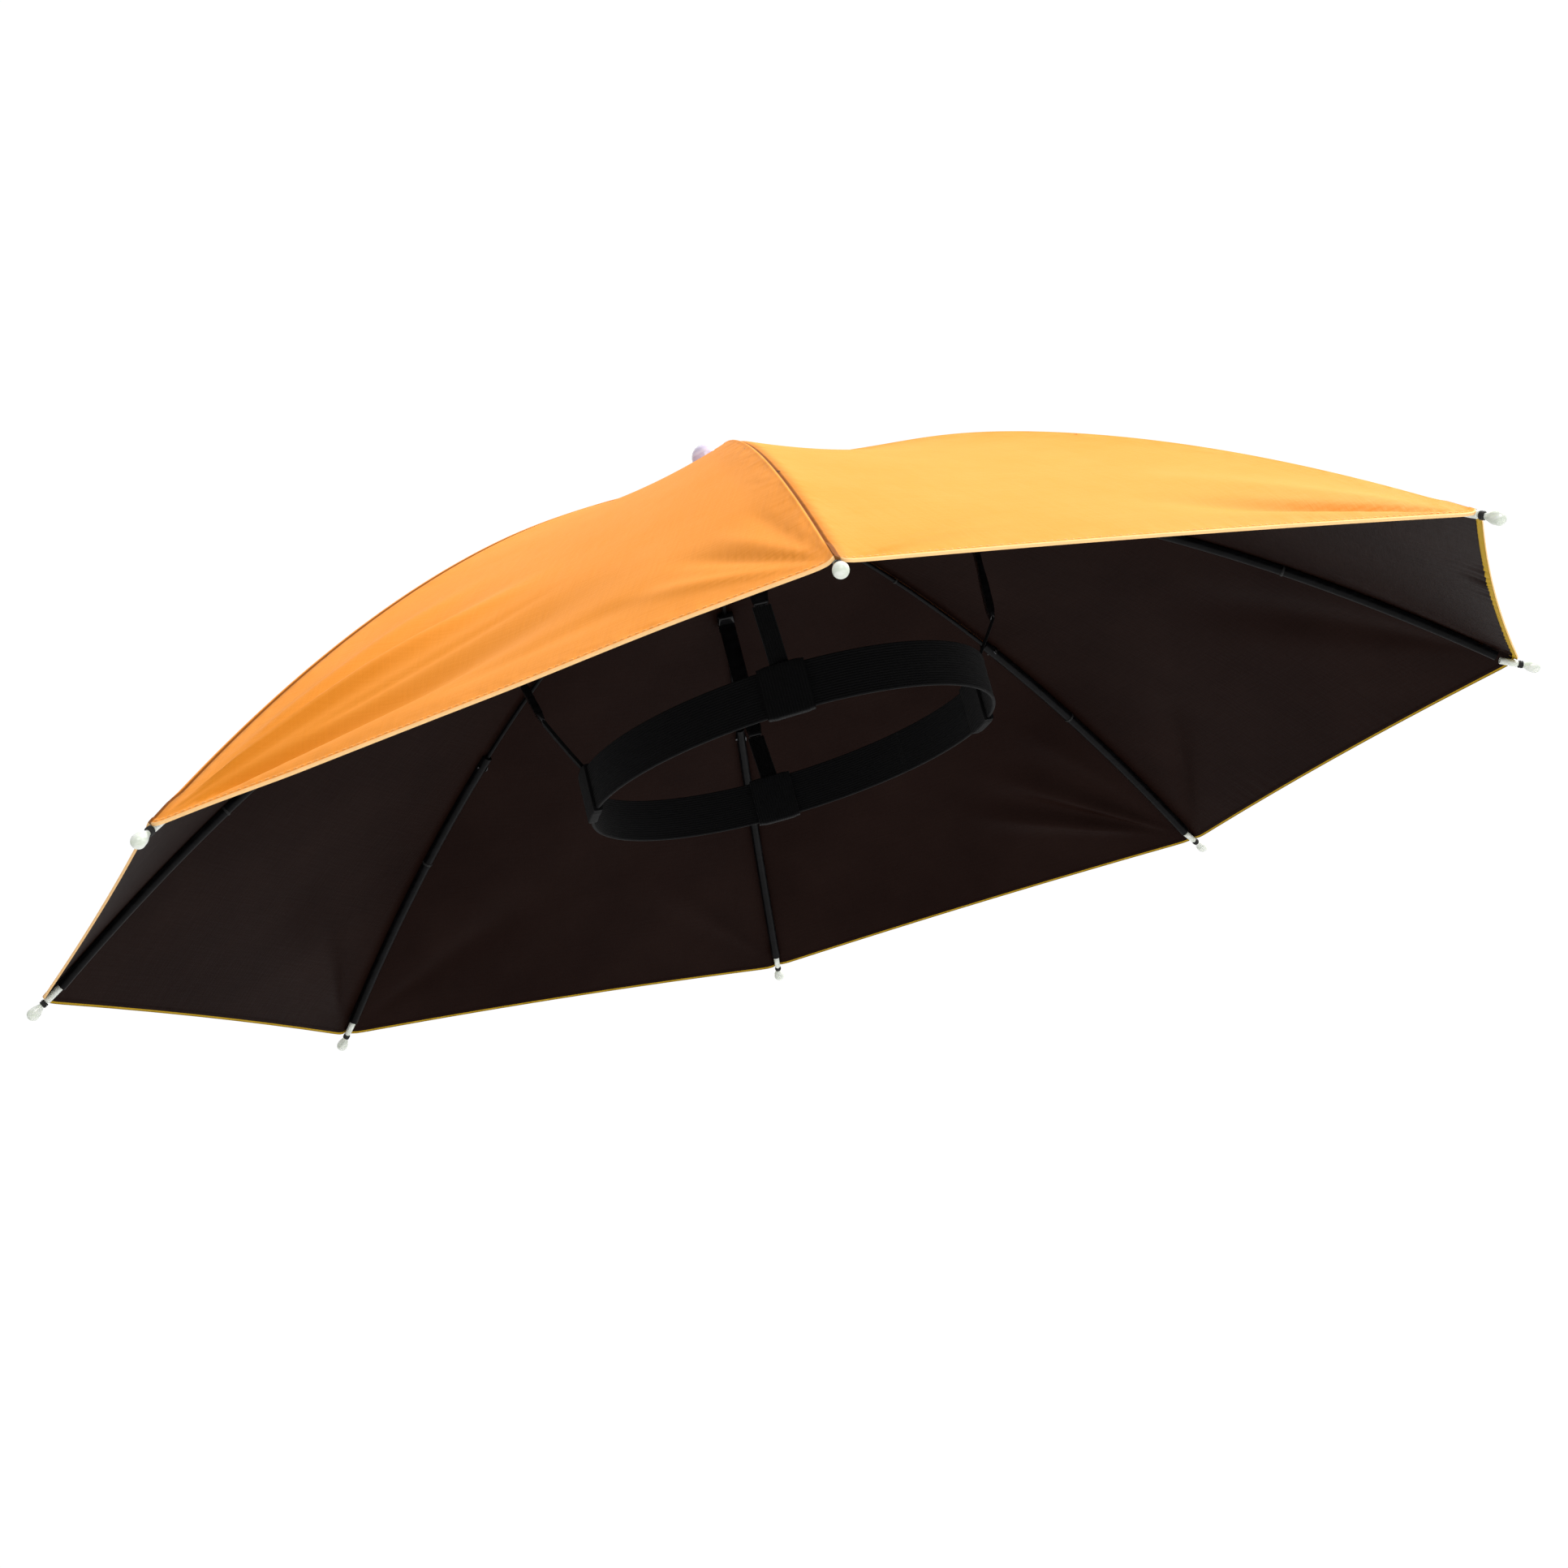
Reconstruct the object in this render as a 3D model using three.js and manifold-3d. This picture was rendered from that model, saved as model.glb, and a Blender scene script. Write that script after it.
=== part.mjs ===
// Umbrella hat: a canopy of cloth gores on folding ribs, worn on an elastic headband that hangs from
// every second rib. Millimetres, +Z up. The wearer faces -Y. The origin is on the canopy's axis, at the
// middle of the headband's height.

import * as THREE from "three";
import { mergeVertices } from "three/addons/utils/BufferGeometryUtils.js";
import Module from "manifold-3d";

const wasm = await Module();
wasm.setup();

const clearance = 0.3; // between pieces that lie against each other

const canopy = {
  ribs: 8,
  reach: 343, // axis to the end of each seam, over the middle of its tip ball
  rise: 171, // ends of the seams up to the crown
  bandAboveRim: 41, // ends of the seams up to the middle of the headband
};

// A seam falls from the crown by lean * share + bend * share squared, rounded off near the axis.
const seamCurve = { lean: 0.32, bend: 0.7, round: 0.04 };

const cloth = {
  thickness: 1,
  seamGap: 0.3, // between neighbouring gores
  crownHole: 7, // radius of the hole at the top
  cornerInset: 6.5, // tip ball's middle in to the cloth's corner
  crowding: 1.3, // above 1, the mesh's rows lie closer together towards the hem
};

const innerRib = { radius: 1, sides: 6, steps: 6 };

const outerRib = {
  width: 4.6,
  above: 1, // rib's middle line up to the channel's lips
  below: 1.9, // rib's middle line down to the channel's floor
  wall: 0.6,
  overlap: 12, // length of inner rib that lies in the channel
  jointShare: 0.56, // folding joint's place along the reach
  steps: 5,
};

const tip = {
  ballRadius: 2.75,
  sink: 1.9, // cloth's outside down to the ball's middle
  neckRadius: 1.1,
  sleeveRadius: 1.6, // at the rib's end, from where the sleeve narrows to the neck
  sleeveStart: 8, // ball's middle in to the sleeve
  sleeveLength: 8,
  sides: 8,
};

const hub = {
  radius: 13,
  height: 9,
  floor: 1.5, // solid bottom under the finial's shank
  slotDepth: 6, // how far each inner rib reaches into the rim
  edge: 1, // chamfer round the rim
  clothShare: 1.2, // where the cloth leaves the hub, as a share of its radius
  sides: 32,
};

const finial = {
  washerRadius: 10,
  washerHeight: 1.6,
  neckRadius: 4.2,
  capRadius: 6.2,
  height: 20.5, // above the washer's seat
  shankRadius: 3.5,
  sides: 14,
};

const leg = {
  seatRadius: 110, // axis to the clip on the rib
  clipLength: 12,
  clipFloor: 2.2,
  clipLip: 0.2, // how far the clip's cheeks rise past the middle of the rib
  width: 8,
  stayThickness: 2.4,
  stayBottom: 37, // height of the stay's lower end
  strapThickness: 1.7,
};

// Where each leg's clip and its stay's lower end lie, as shares of seatRadius.
const legs = [
  { rib: 2, seat: 1.03, end: 0.99 },
  { rib: 4, seat: 0.98, end: 0.95 },
  { rib: 6, seat: 1.07, end: 0.91 },
  { rib: 8, seat: 0.88, end: 0.85 },
];

// Thickness and width along the stay, from the clip down, as shares of stayThickness and width.
const staySections = [
  { down: 0, thick: 1, wide: 1 },
  { down: 0.58, thick: 1, wide: 1 },
  { down: 0.68, thick: 1.42, wide: 1 },
  { down: 0.92, thick: 1.42, wide: 1 },
  { down: 1, thick: 0.75, wide: 0.8 },
];

const band = {
  halfWidth: 80.9, // inner face, across the head
  halfDepth: 99.3, // inner face, front to back
  forward: 3.5, // how far the head sits in front of the canopy's axis
  thickness: 1.5,
  height: 20,
  segments: 56,
};

const sleeve = { width: 20, wall: 1.1, segments: 4, cutShare: 1.2 }; // the cut runs past both ends

// Each gore: its sag across the middle and the hollow of its hem, as shares of the hem's width, and its mesh.
const gores = [
  { sag: 0.012, hollow: 0.01, columns: 10, rows: 11 },
  { sag: 0.014, hollow: 0.008, columns: 10, rows: 11 },
  { sag: 0.013, hollow: 0.006, columns: 10, rows: 11 },
  { sag: 0.014, hollow: 0.008, columns: 10, rows: 11 },
  { sag: 0.013, hollow: 0.006, columns: 10, rows: 11 },
  { sag: 0.015, hollow: 0.016, columns: 10, rows: 11 },
  { sag: 0.016, hollow: 0.012, columns: 24, rows: 22 },
  { sag: 0.013, hollow: 0.006, columns: 12, rows: 12 },
];

// How each rib differs from the common curve: turned about the axis in degrees, its tip lifted and its middle
// bowed up, both as shares of the rise.
const ribs = [
  { turn: 0.5, lift: 0.007, bow: 0.004 },
  { turn: -0.54, lift: -0.005, bow: 0 },
  { turn: 0.9, lift: -0.012, bow: 0.004 },
  { turn: 0, lift: 0, bow: 0 },
  { turn: 0.37, lift: 0.009, bow: -0.004 },
  { turn: -0.2, lift: 0.013, bow: 0 },
  { turn: 0.35, lift: -0.022, bow: -0.006 },
  { turn: -0.38, lift: 0.008, bow: 0.014 },
];

// Folds that fan out from the tips. The angle is measured from the hem and the spread is the fold's half
// width, both in degrees. rise is a share of the hem's width, and reach a share of the gore's length.
const folds = [
  { gore: 7, from: "first", angle: 57, spread: 4, rise: 0.008, reach: 0.5 },
  { gore: 7, from: "first", angle: 45, spread: 4.5, rise: 0.016, reach: 0.62 },
  { gore: 7, from: "first", angle: 33, spread: 4.5, rise: -0.014, reach: 0.6 },
  { gore: 7, from: "first", angle: 23, spread: 4.5, rise: 0.01, reach: 0.62 },
  { gore: 7, from: "second", angle: 41, spread: 6, rise: -0.006, reach: 0.34 },
  { gore: 7, from: "second", angle: 60, spread: 4, rise: -0.006, reach: 0.36 },
  { gore: 8, from: "second", angle: 34, spread: 8, rise: -0.005, reach: 0.4 },
  { gore: 2, from: "first", angle: 54, spread: 8, rise: 0.008, reach: 0.5 },
  { gore: 2, from: "second", angle: 43, spread: 7, rise: 0.007, reach: 0.45 },
  { gore: 3, from: "first", angle: 52, spread: 6, rise: -0.01, reach: 0.5 },
  { gore: 3, from: "first", angle: 37, spread: 6, rise: -0.01, reach: 0.5 },
  { gore: 5, from: "first", angle: 32, spread: 8, rise: -0.008, reach: 0.5 },
  { gore: 6, from: "second", angle: 38, spread: 8, rise: 0.008, reach: 0.5 },
];

// A fold's height along its reach: it has grown to its full height at grown and starts to fade at fading.
const foldShape = { grown: 0.35, fading: 0.45 };

const hollowStart = 0.4; // share of a gore's length from which the hem's hollow shows
const slopeSteps = 16; // steps in which the length up a gore is measured
const up = new THREE.Vector3(0, 0, 1);
const ribStep = (2 * Math.PI) / canopy.ribs;
const halfStep = ribStep / 2;
const clothReach = 1 - cloth.cornerInset / canopy.reach;
const crownShare = (hub.clothShare * hub.radius) / canopy.reach;

const finishes = {
  clothOutside: { color: 0xf6a53c, roughness: 0.75, metalness: 0 },
  paintedSteel: { color: 0x141414, roughness: 0.4, metalness: 0.3 },
  whitePlastic: { color: 0xf2f2ea, roughness: 0.3, metalness: 0 },
  palePlastic: { color: 0xe6dcf0, roughness: 0.25, metalness: 0 },
  blackPlastic: { color: 0x101010, roughness: 0.35, metalness: 0 },
  blackWebbing: { color: 0x0c0c0d, roughness: 0.9, metalness: 0 },
};

/** The rib at a number, counted round the canopy. */
function ribAt(number) {
  return ribs[(number - 1) % ribs.length];
}

/** Direction from the axis to a rib, counted from the wearer's front. */
function ribAngle(number) {
  return -Math.PI / 2 + (number - 1) * ribStep + THREE.MathUtils.degToRad(ribAt(number).turn);
}

/** Unit vector that points out from the axis at an angle. */
function outward(angle) {
  return new THREE.Vector3(Math.cos(angle), Math.sin(angle), 0);
}

/** Unit vector across that direction, anticlockwise seen from above. */
function across(angle) {
  return new THREE.Vector3(-Math.sin(angle), Math.cos(angle), 0);
}

/** Share of the rise that a seam has fallen at a share of the reach. */
function fall(share) {
  const { lean, bend, round } = seamCurve;
  const drop = (s) => lean * (Math.sqrt(s * s + round * round) - round) + bend * s * s;
  return drop(share) / drop(1);
}

/** Height of the cloth's outside along the seam over a rib. */
function seamHeight(number, share) {
  const { lift, bow } = ribAt(number);
  const own = lift * share * share + bow * Math.sin(Math.PI * Math.min(share, 1));
  return canopy.rise * (1 - fall(share) + own) - canopy.bandAboveRim;
}

/** A seam's point, its tangent, its upward normal and the sideways direction at a share of the reach. */
function seamFrame(number, share) {
  const angle = ribAngle(number);
  const step = 0.001;
  const run = outward(angle).multiplyScalar(2 * step * canopy.reach);
  const lost = seamHeight(number, share + step) - seamHeight(number, share - step);
  const tangent = run.setZ(lost).normalize();
  const side = across(angle);
  return {
    point: outward(angle).multiplyScalar(share * canopy.reach).setZ(seamHeight(number, share)),
    tangent,
    side,
    normal: new THREE.Vector3().crossVectors(tangent, side),
  };
}

/** How far the cloth has dropped below its seam at a distance to each side of a rib. */
function dropBeside(number, share, sideways) {
  const { point, normal } = seamFrame(number, share);
  const halfChord = share * canopy.reach * Math.sin(halfStep);
  const edge = 1 - sideways / (halfChord * Math.cos(halfStep));
  const before = ((number + canopy.ribs - 2) % canopy.ribs) + 1;
  const drops = [gorePoint(number, share, -edge, false), gorePoint(before, share, edge, false)];
  return Math.max(0, ...drops.map((place) => point.clone().sub(place).dot(normal)));
}

/** A rib's middle point, tangent, upward normal and sideways direction, with its channel under the cloth. */
function ribFrame(number, share) {
  const { point, tangent, side, normal } = seamFrame(number, share);
  const drop = dropBeside(number, share, outerRib.width / 2);
  const depth = cloth.thickness + clearance + outerRib.above + drop;
  return { middle: point.addScaledVector(normal, -depth), tangent, side, normal };
}

const hemHalf = clothReach * canopy.reach * Math.sin(halfStep);

/** Length up the middle of a gore from the hem to a share of the cloth's reach. */
function slopeLength(share) {
  let length = 0;
  for (let k = 0; k < slopeSteps; k += 1) {
    const a = share + ((clothReach - share) * k) / slopeSteps;
    const b = share + ((clothReach - share) * (k + 1)) / slopeSteps;
    const run = (b - a) * canopy.reach * Math.cos(halfStep);
    length += Math.hypot(run, (fall(b) - fall(a)) * canopy.rise);
  }
  return length;
}

const goreLength = slopeLength(cloth.crownHole / canopy.reach);

/** Smooth step from 0 at low to 1 at high. */
function ease(value, low, high) {
  const t = Math.min(Math.max((value - low) / (high - low), 0), 1);
  return t * t * (3 - 2 * t);
}

/** Height of a gore's folds at a place in its flat pattern: distance along the hem and up the slope. */
function foldHeight(number, along, upSlope, edge) {
  let height = 0;
  for (const fold of folds.filter((row) => row.gore === number)) {
    const fromTip = fold.from === "first" ? hemHalf + along : hemHalf - along;
    const distance = Math.hypot(fromTip, upSlope);
    const turn = THREE.MathUtils.radToDeg(Math.atan2(upSlope, fromTip)) - fold.angle;
    const reach = fold.reach * goreLength;
    const fading = ease(distance, foldShape.fading * reach, reach);
    const grow = ease(distance, 0, foldShape.grown * reach) * (1 - fading);
    height += 2 * hemHalf * fold.rise * grow * Math.exp(-((turn / fold.spread) ** 2));
  }
  return height * (1 - edge ** 4);
}

/** A point on a gore's outside. share runs out along the seams, and edge from -1 to 1 across the gore. */
function gorePoint(number, share, edge, folded) {
  const { sag, hollow } = gores[(number - 1) % gores.length];
  const bowl = 1 - edge * edge;
  const towardHem = ease(share, hollowStart * clothReach, clothReach) ** 2;
  const slid = share - (bowl * towardHem * hollow * 2 * hemHalf) / canopy.reach;
  const [first, second] = [number, number + 1].map((rib) => {
    return outward(ribAngle(rib)).multiplyScalar(slid * canopy.reach).setZ(seamHeight(rib, slid));
  });
  const chord = second.clone().sub(first).setZ(0);
  const inset = cloth.seamGap / 2 / Math.cos(halfStep) / chord.length();
  const point = first.lerp(second, THREE.MathUtils.lerp(inset, 1 - inset, (edge + 1) / 2));
  point.z -= sag * 2 * hemHalf * bowl * Math.sin(Math.PI * Math.min(share / clothReach, 1));
  if (folded) {
    const along = (edge * share * hemHalf) / clothReach;
    const rise = foldHeight(number, along, slopeLength(share), edge);
    point.addScaledVector(goreNormal(number, share, edge), rise);
  }
  return point;
}

/** Outward normal of a gore's unfolded surface. */
function goreNormal(number, share, edge) {
  const step = 0.004;
  const low = Math.max(share - step, 0.01);
  const radial = gorePoint(number, share + step, edge, false).sub(gorePoint(number, low, edge, false));
  const [before, after] = [edge - step, edge + step].map((place) => gorePoint(number, share, place, false));
  return radial.cross(after.sub(before)).normalize();
}

/** Direction through the cloth's thickness: the normal, turned into the rib's plane along the seams. */
function throughCloth(number, share, edge) {
  const normal = goreNormal(number, share, edge);
  const atSeam = Math.abs(edge) === 1;
  if (!atSeam) return normal;
  const ribSide = across(ribAngle(edge < 0 ? number : number + 1));
  return normal.addScaledVector(ribSide, -normal.dot(ribSide)).normalize();
}

/** An indexed geometry from points and triangles. */
function geometryOf(points, triangles) {
  const geometry = new THREE.BufferGeometry();
  geometry.setAttribute("position", new THREE.Float32BufferAttribute(points.flatMap((p) => p.toArray()), 3));
  geometry.setIndex(triangles.flat());
  geometry.computeVertexNormals();
  return geometry;
}

/** A closed solid between an outer and an inner grid of points, both as rows of columns. */
function wallBetween(outer, inner) {
  const rows = outer.length;
  const columns = outer[0].length;
  const at = (layer, row, column) => (layer * rows + row) * columns + column;
  const triangles = [];
  const quad = (a, b, c, d) => triangles.push([a, b, c], [a, c, d]);
  for (let r = 0; r < rows - 1; r += 1) {
    for (let c = 0; c < columns - 1; c += 1) {
      quad(at(0, r, c), at(0, r + 1, c), at(0, r + 1, c + 1), at(0, r, c + 1));
      quad(at(1, r, c), at(1, r, c + 1), at(1, r + 1, c + 1), at(1, r + 1, c));
    }
  }
  const last = { row: rows - 1, column: columns - 1 };
  for (let c = 0; c < last.column; c += 1) {
    quad(at(0, 0, c), at(0, 0, c + 1), at(1, 0, c + 1), at(1, 0, c));
    quad(at(0, last.row, c), at(1, last.row, c), at(1, last.row, c + 1), at(0, last.row, c + 1));
  }
  for (let r = 0; r < last.row; r += 1) {
    quad(at(0, r, 0), at(1, r, 0), at(1, r + 1, 0), at(0, r + 1, 0));
    quad(at(0, r, last.column), at(0, r + 1, last.column), at(1, r + 1, last.column), at(1, r, last.column));
  }
  return geometryOf([...outer.flat(2), ...inner.flat(2)], triangles);
}

/** A closed solid through rings of points: capFaces triangulates both ends, or closed joins them. */
function loft(rings, capFaces, closed = false) {
  const size = rings[0].length;
  const triangles = [];
  const bands = closed ? rings.length : rings.length - 1;
  for (let r = 0; r < bands; r += 1) {
    const a = r * size;
    const b = ((r + 1) % rings.length) * size;
    for (let k = 0; k < size; k += 1) {
      const n = (k + 1) % size;
      triangles.push([a + k, b + n, b + k], [a + k, a + n, b + n]);
    }
  }
  if (!closed) {
    const end = (rings.length - 1) * size;
    for (const [a, b, c] of capFaces) triangles.push([a, c, b], [end + a, end + b, end + c]);
  }
  return geometryOf(rings.flat(), triangles);
}

/** Triangles that fill a flat outline given as Vector2 points, anticlockwise. */
function fill(outline) {
  return THREE.ShapeUtils.triangulateShape(outline, []);
}

/** A geometry as a solid for joining and cutting. */
function toSolid(geometry) {
  const plain = geometry.clone();
  plain.deleteAttribute("normal");
  plain.deleteAttribute("uv");
  const merged = mergeVertices(plain, 1e-4);
  return new wasm.Manifold(
    new wasm.Mesh({
      numProp: 3,
      vertProperties: new Float32Array(merged.attributes.position.array),
      triVerts: new Uint32Array(merged.index.array),
    }),
  );
}

/** A solid back as a geometry. */
function toGeometry(solid) {
  const mesh = solid.getMesh();
  const geometry = new THREE.BufferGeometry();
  geometry.setAttribute("position", new THREE.BufferAttribute(new Float32Array(mesh.vertProperties), 3));
  geometry.setIndex(new THREE.BufferAttribute(new Uint32Array(mesh.triVerts), 1));
  geometry.computeVertexNormals();
  return geometry;
}

/** One cloth gore: a flat first row over the hub, then rows that lie closer together towards the hem. */
function panelGeometry(number) {
  const { columns, rows } = gores[(number - 1) % gores.length];
  const outer = [];
  const inner = [];
  for (let r = 0; r <= rows; r += 1) {
    const downwards = Math.max(r - 1, 0) / (rows - 1);
    const beyondHub = crownShare + (clothReach - crownShare) * (1 - (1 - downwards) ** cloth.crowding);
    const share = r === 0 ? cloth.crownHole / canopy.reach : beyondHub;
    const line = [];
    const under = [];
    for (let c = 0; c <= columns; c += 1) {
      const edge = -1 + (2 * c) / columns;
      const point = gorePoint(number, share, edge, true);
      line.push(point);
      under.push(point.clone().addScaledVector(throughCloth(number, share, edge), -cloth.thickness));
    }
    outer.push(line);
    inner.push(under);
  }
  return wallBetween(outer, inner);
}

/** A flat outline placed across a rib at a share of the reach. */
function ribRing(number, share, outline) {
  const { middle, side, normal } = ribFrame(number, share);
  return outline.map((p) => middle.clone().addScaledVector(side, p.x).addScaledVector(normal, p.y));
}

/** A section swept along a rib between two shares of the reach. */
function ribSweep(number, from, to, steps, outline) {
  const rings = [];
  for (let k = 0; k <= steps; k += 1) rings.push(ribRing(number, from + ((to - from) * k) / steps, outline));
  return loft(rings, fill(outline));
}

/** The rod from the hub to the folding joint. */
function innerRibGeometry(number) {
  const outline = [];
  for (let k = 0; k < innerRib.sides; k += 1) {
    const turn = (2 * Math.PI * k) / innerRib.sides;
    outline.push(new THREE.Vector2(Math.cos(turn), Math.sin(turn)).multiplyScalar(innerRib.radius));
  }
  const from = (hub.radius - hub.slotDepth + clearance) / canopy.reach;
  const to = outerRib.jointShare + outerRib.overlap / 2 / canopy.reach;
  return ribSweep(number, from, to, innerRib.steps, outline);
}

/** Share of the reach at which a rib's channel ends, short of the tip's sleeve. */
function channelEnd(number) {
  const { tangent } = seamFrame(number, 1);
  const length = tip.sleeveStart + tip.sleeveLength + clearance;
  return 1 - (length * Math.hypot(tangent.x, tangent.y)) / canopy.reach;
}

/** The channel from the folding joint to the tip, open towards the cloth. */
function outerRibGeometry(number) {
  const half = outerRib.width / 2;
  const inside = half - outerRib.wall;
  const floor = -outerRib.below;
  const chamfer = outerRib.width / 4;
  const outline = [
    new THREE.Vector2(-half, floor + chamfer),
    new THREE.Vector2(-half + chamfer, floor),
    new THREE.Vector2(half - chamfer, floor),
    new THREE.Vector2(half, floor + chamfer),
    new THREE.Vector2(half, outerRib.above),
    new THREE.Vector2(inside, outerRib.above),
    new THREE.Vector2(inside, floor + outerRib.wall),
    new THREE.Vector2(-inside, floor + outerRib.wall),
    new THREE.Vector2(-inside, outerRib.above),
    new THREE.Vector2(-half, outerRib.above),
  ];
  const from = outerRib.jointShare - outerRib.overlap / 2 / canopy.reach;
  return ribSweep(number, from, channelEnd(number), outerRib.steps, outline);
}

/** A closed lathe round Z from its outline, which starts and ends on the axis. */
function turned(outline, sides) {
  const lathe = new THREE.LatheGeometry(outline.map(([r, z]) => new THREE.Vector2(r, z)), sides);
  return mergeVertices(toPositions(lathe).rotateX(Math.PI / 2), 1e-4);
}

/** A copy of a geometry with positions alone. */
function toPositions(geometry) {
  const plain = geometry.clone();
  plain.deleteAttribute("normal");
  plain.deleteAttribute("uv");
  return plain;
}

/** The ball tip with its neck and the sleeve at the rib's end, along Z with the ball's middle at 0. */
function tipGeometry() {
  const sleeveEnd = tip.sleeveStart + tip.sleeveLength;
  const waist = Math.sqrt(tip.ballRadius ** 2 - tip.neckRadius ** 2);
  const arc = [];
  const steps = 5;
  const waistTurn = Math.atan2(tip.neckRadius, -waist);
  for (let k = 1; k <= steps; k += 1) {
    const turn = waistTurn * (1 - k / steps);
    arc.push([tip.ballRadius * Math.sin(turn), tip.ballRadius * Math.cos(turn)]);
  }
  return turned(
    [
      [0, -sleeveEnd],
      [tip.sleeveRadius, -sleeveEnd],
      [tip.neckRadius, -tip.sleeveStart],
      [tip.neckRadius, -waist],
      ...arc,
    ],
    tip.sides,
  );
}

/** Height of the cloth's outside at the crown. */
const crownTop = Math.max(...ribs.map((_, k) => seamHeight(k + 1, cloth.crownHole / canopy.reach)));
const finialSeat = crownTop + clearance;
const crownEdge = Math.min(...ribs.map((_, k) => gorePoint(k + 1, crownShare, 0, false).z));
const hubTop = crownEdge - cloth.thickness - clearance;

/** The notched disc under the crown, bored for the finial's shank. */
function hubGeometry() {
  const bore = finial.shankRadius + clearance;
  const bottom = hubTop - hub.height;
  const body = turned(
    [
      [0, bottom],
      [hub.radius - hub.edge, bottom],
      [hub.radius, bottom + hub.edge],
      [hub.radius, hubTop - hub.edge],
      [hub.radius - hub.edge, hubTop],
      [bore, hubTop],
      [bore, bottom + hub.floor],
      [0, bottom + hub.floor],
    ],
    hub.sides,
  );
  let solid = toSolid(body);
  const room = 2 * (innerRib.radius + clearance);
  for (let number = 1; number <= canopy.ribs; number += 1) {
    const share = (hub.radius - hub.slotDepth / 2) / canopy.reach;
    const { middle, tangent, side, normal } = ribFrame(number, share);
    const tall = 2 * hub.height;
    const slot = new THREE.BoxGeometry(2 * hub.slotDepth, room, tall);
    slot.translate(hub.slotDepth / 2, 0, tall / 2 - room / 2);
    slot.applyMatrix4(new THREE.Matrix4().makeBasis(tangent, side, normal).setPosition(middle));
    solid = solid.subtract(toSolid(slot));
  }
  return toGeometry(solid);
}

/** The pale cap with its washer, and the shank that goes down into the hub. */
function finialGeometry() {
  const shankEnd = hubTop - hub.height + hub.floor + clearance;
  const capMiddle = finialSeat + finial.height - finial.capRadius;
  const dome = [];
  const steps = 4;
  for (let k = 1; k <= steps; k += 1) {
    const turn = (Math.PI / 2) * (k / steps);
    dome.push([finial.capRadius * Math.cos(turn), capMiddle + finial.capRadius * Math.sin(turn)]);
  }
  const washerTop = finialSeat + finial.washerHeight;
  return turned(
    [
      [0, shankEnd],
      [finial.shankRadius, shankEnd],
      [finial.shankRadius, finialSeat],
      [finial.washerRadius, finialSeat],
      [finial.washerRadius, washerTop],
      [finial.neckRadius, washerTop + finial.washerHeight],
      [finial.neckRadius, capMiddle - finial.capRadius],
      [finial.capRadius, capMiddle - finial.capRadius / 2],
      [finial.capRadius, capMiddle],
      ...dome,
    ],
    finial.sides,
  );
}

/** Distance from the canopy's axis to the headband's inner face, in a direction. */
function bandRadius(angle, offset) {
  const { x, y } = outward(angle);
  const a = band.halfWidth + offset;
  const b = band.halfDepth + offset;
  const p = (x / a) ** 2 + (y / b) ** 2;
  const q = (y * band.forward) / b ** 2;
  const r = (band.forward / b) ** 2 - 1;
  return (-q + Math.sqrt(q * q - p * r)) / p;
}

/** A point of the headband's section: how far out of the inner face, and how high. */
function bandPoint(turn, offset, height) {
  const a = band.halfWidth + offset;
  const b = band.halfDepth + offset;
  return new THREE.Vector3(a * Math.cos(turn), b * Math.sin(turn) - band.forward, height);
}

/** A rectangle of the headband's section, from an inner to an outer offset and between two heights. */
function bandRing(turn, from, to, low, high) {
  return [
    bandPoint(turn, from, low),
    bandPoint(turn, to, low),
    bandPoint(turn, to, high),
    bandPoint(turn, from, high),
  ].reverse();
}

/** The elastic headband, an oval loop of flat band. */
function headbandGeometry() {
  const rings = [];
  for (let k = 0; k < band.segments; k += 1) {
    const turn = (2 * Math.PI * k) / band.segments;
    rings.push(bandRing(turn, 0, band.thickness, -band.height / 2, band.height / 2));
  }
  return loft(rings, [], true);
}

/** The headband's own angle at the place that lies under a rib. */
function bandTurn(angle) {
  const radius = bandRadius(angle, band.thickness);
  const { x, y } = outward(angle).multiplyScalar(radius);
  const [a, b] = [band.halfWidth + band.thickness, band.halfDepth + band.thickness];
  return Math.atan2((y + band.forward) / b, x / a);
}

/** A block of the headband's section between two of its angles. */
function bandBlock(middle, halfTurn, segments, margin) {
  const rings = [];
  for (let k = 0; k <= segments; k += 1) {
    const turn = middle + halfTurn * ((2 * k) / segments - 1);
    const half = band.height / 2 + margin;
    rings.push(bandRing(turn, -margin, band.thickness + margin, -half, half));
  }
  return loft(rings, [[0, 1, 2], [0, 2, 3]]);
}

/** The woven loop round the headband that holds a strap. */
function sleeveGeometry(number) {
  const middle = bandTurn(ribAngle(number));
  const step = 0.01;
  const speed = bandPoint(middle + step, 0, 0).distanceTo(bandPoint(middle - step, 0, 0)) / (2 * step);
  const halfTurn = sleeve.width / 2 / speed;
  const outside = bandBlock(middle, halfTurn, sleeve.segments, clearance + sleeve.wall);
  const inside = bandBlock(middle, halfTurn * sleeve.cutShare, sleeve.segments, clearance);
  return toGeometry(toSolid(outside).subtract(toSolid(inside)));
}

/** The line of a leg: where it leaves its rib, where the stay ends and where the strap meets its sleeve. */
function legLine({ rib, seat: seatShare, end }) {
  const angle = ribAngle(rib);
  const seat = ribFrame(rib, (seatShare * leg.seatRadius) / canopy.reach);
  const strapFoot = band.height / 2 + clearance + sleeve.wall + clearance;
  return {
    angle,
    seat,
    stayEnd: outward(angle).multiplyScalar(end * leg.seatRadius).setZ(leg.stayBottom),
    strapEnd: outward(angle).multiplyScalar(bandRadius(angle, band.thickness / 2)).setZ(strapFoot),
  };
}

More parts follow.
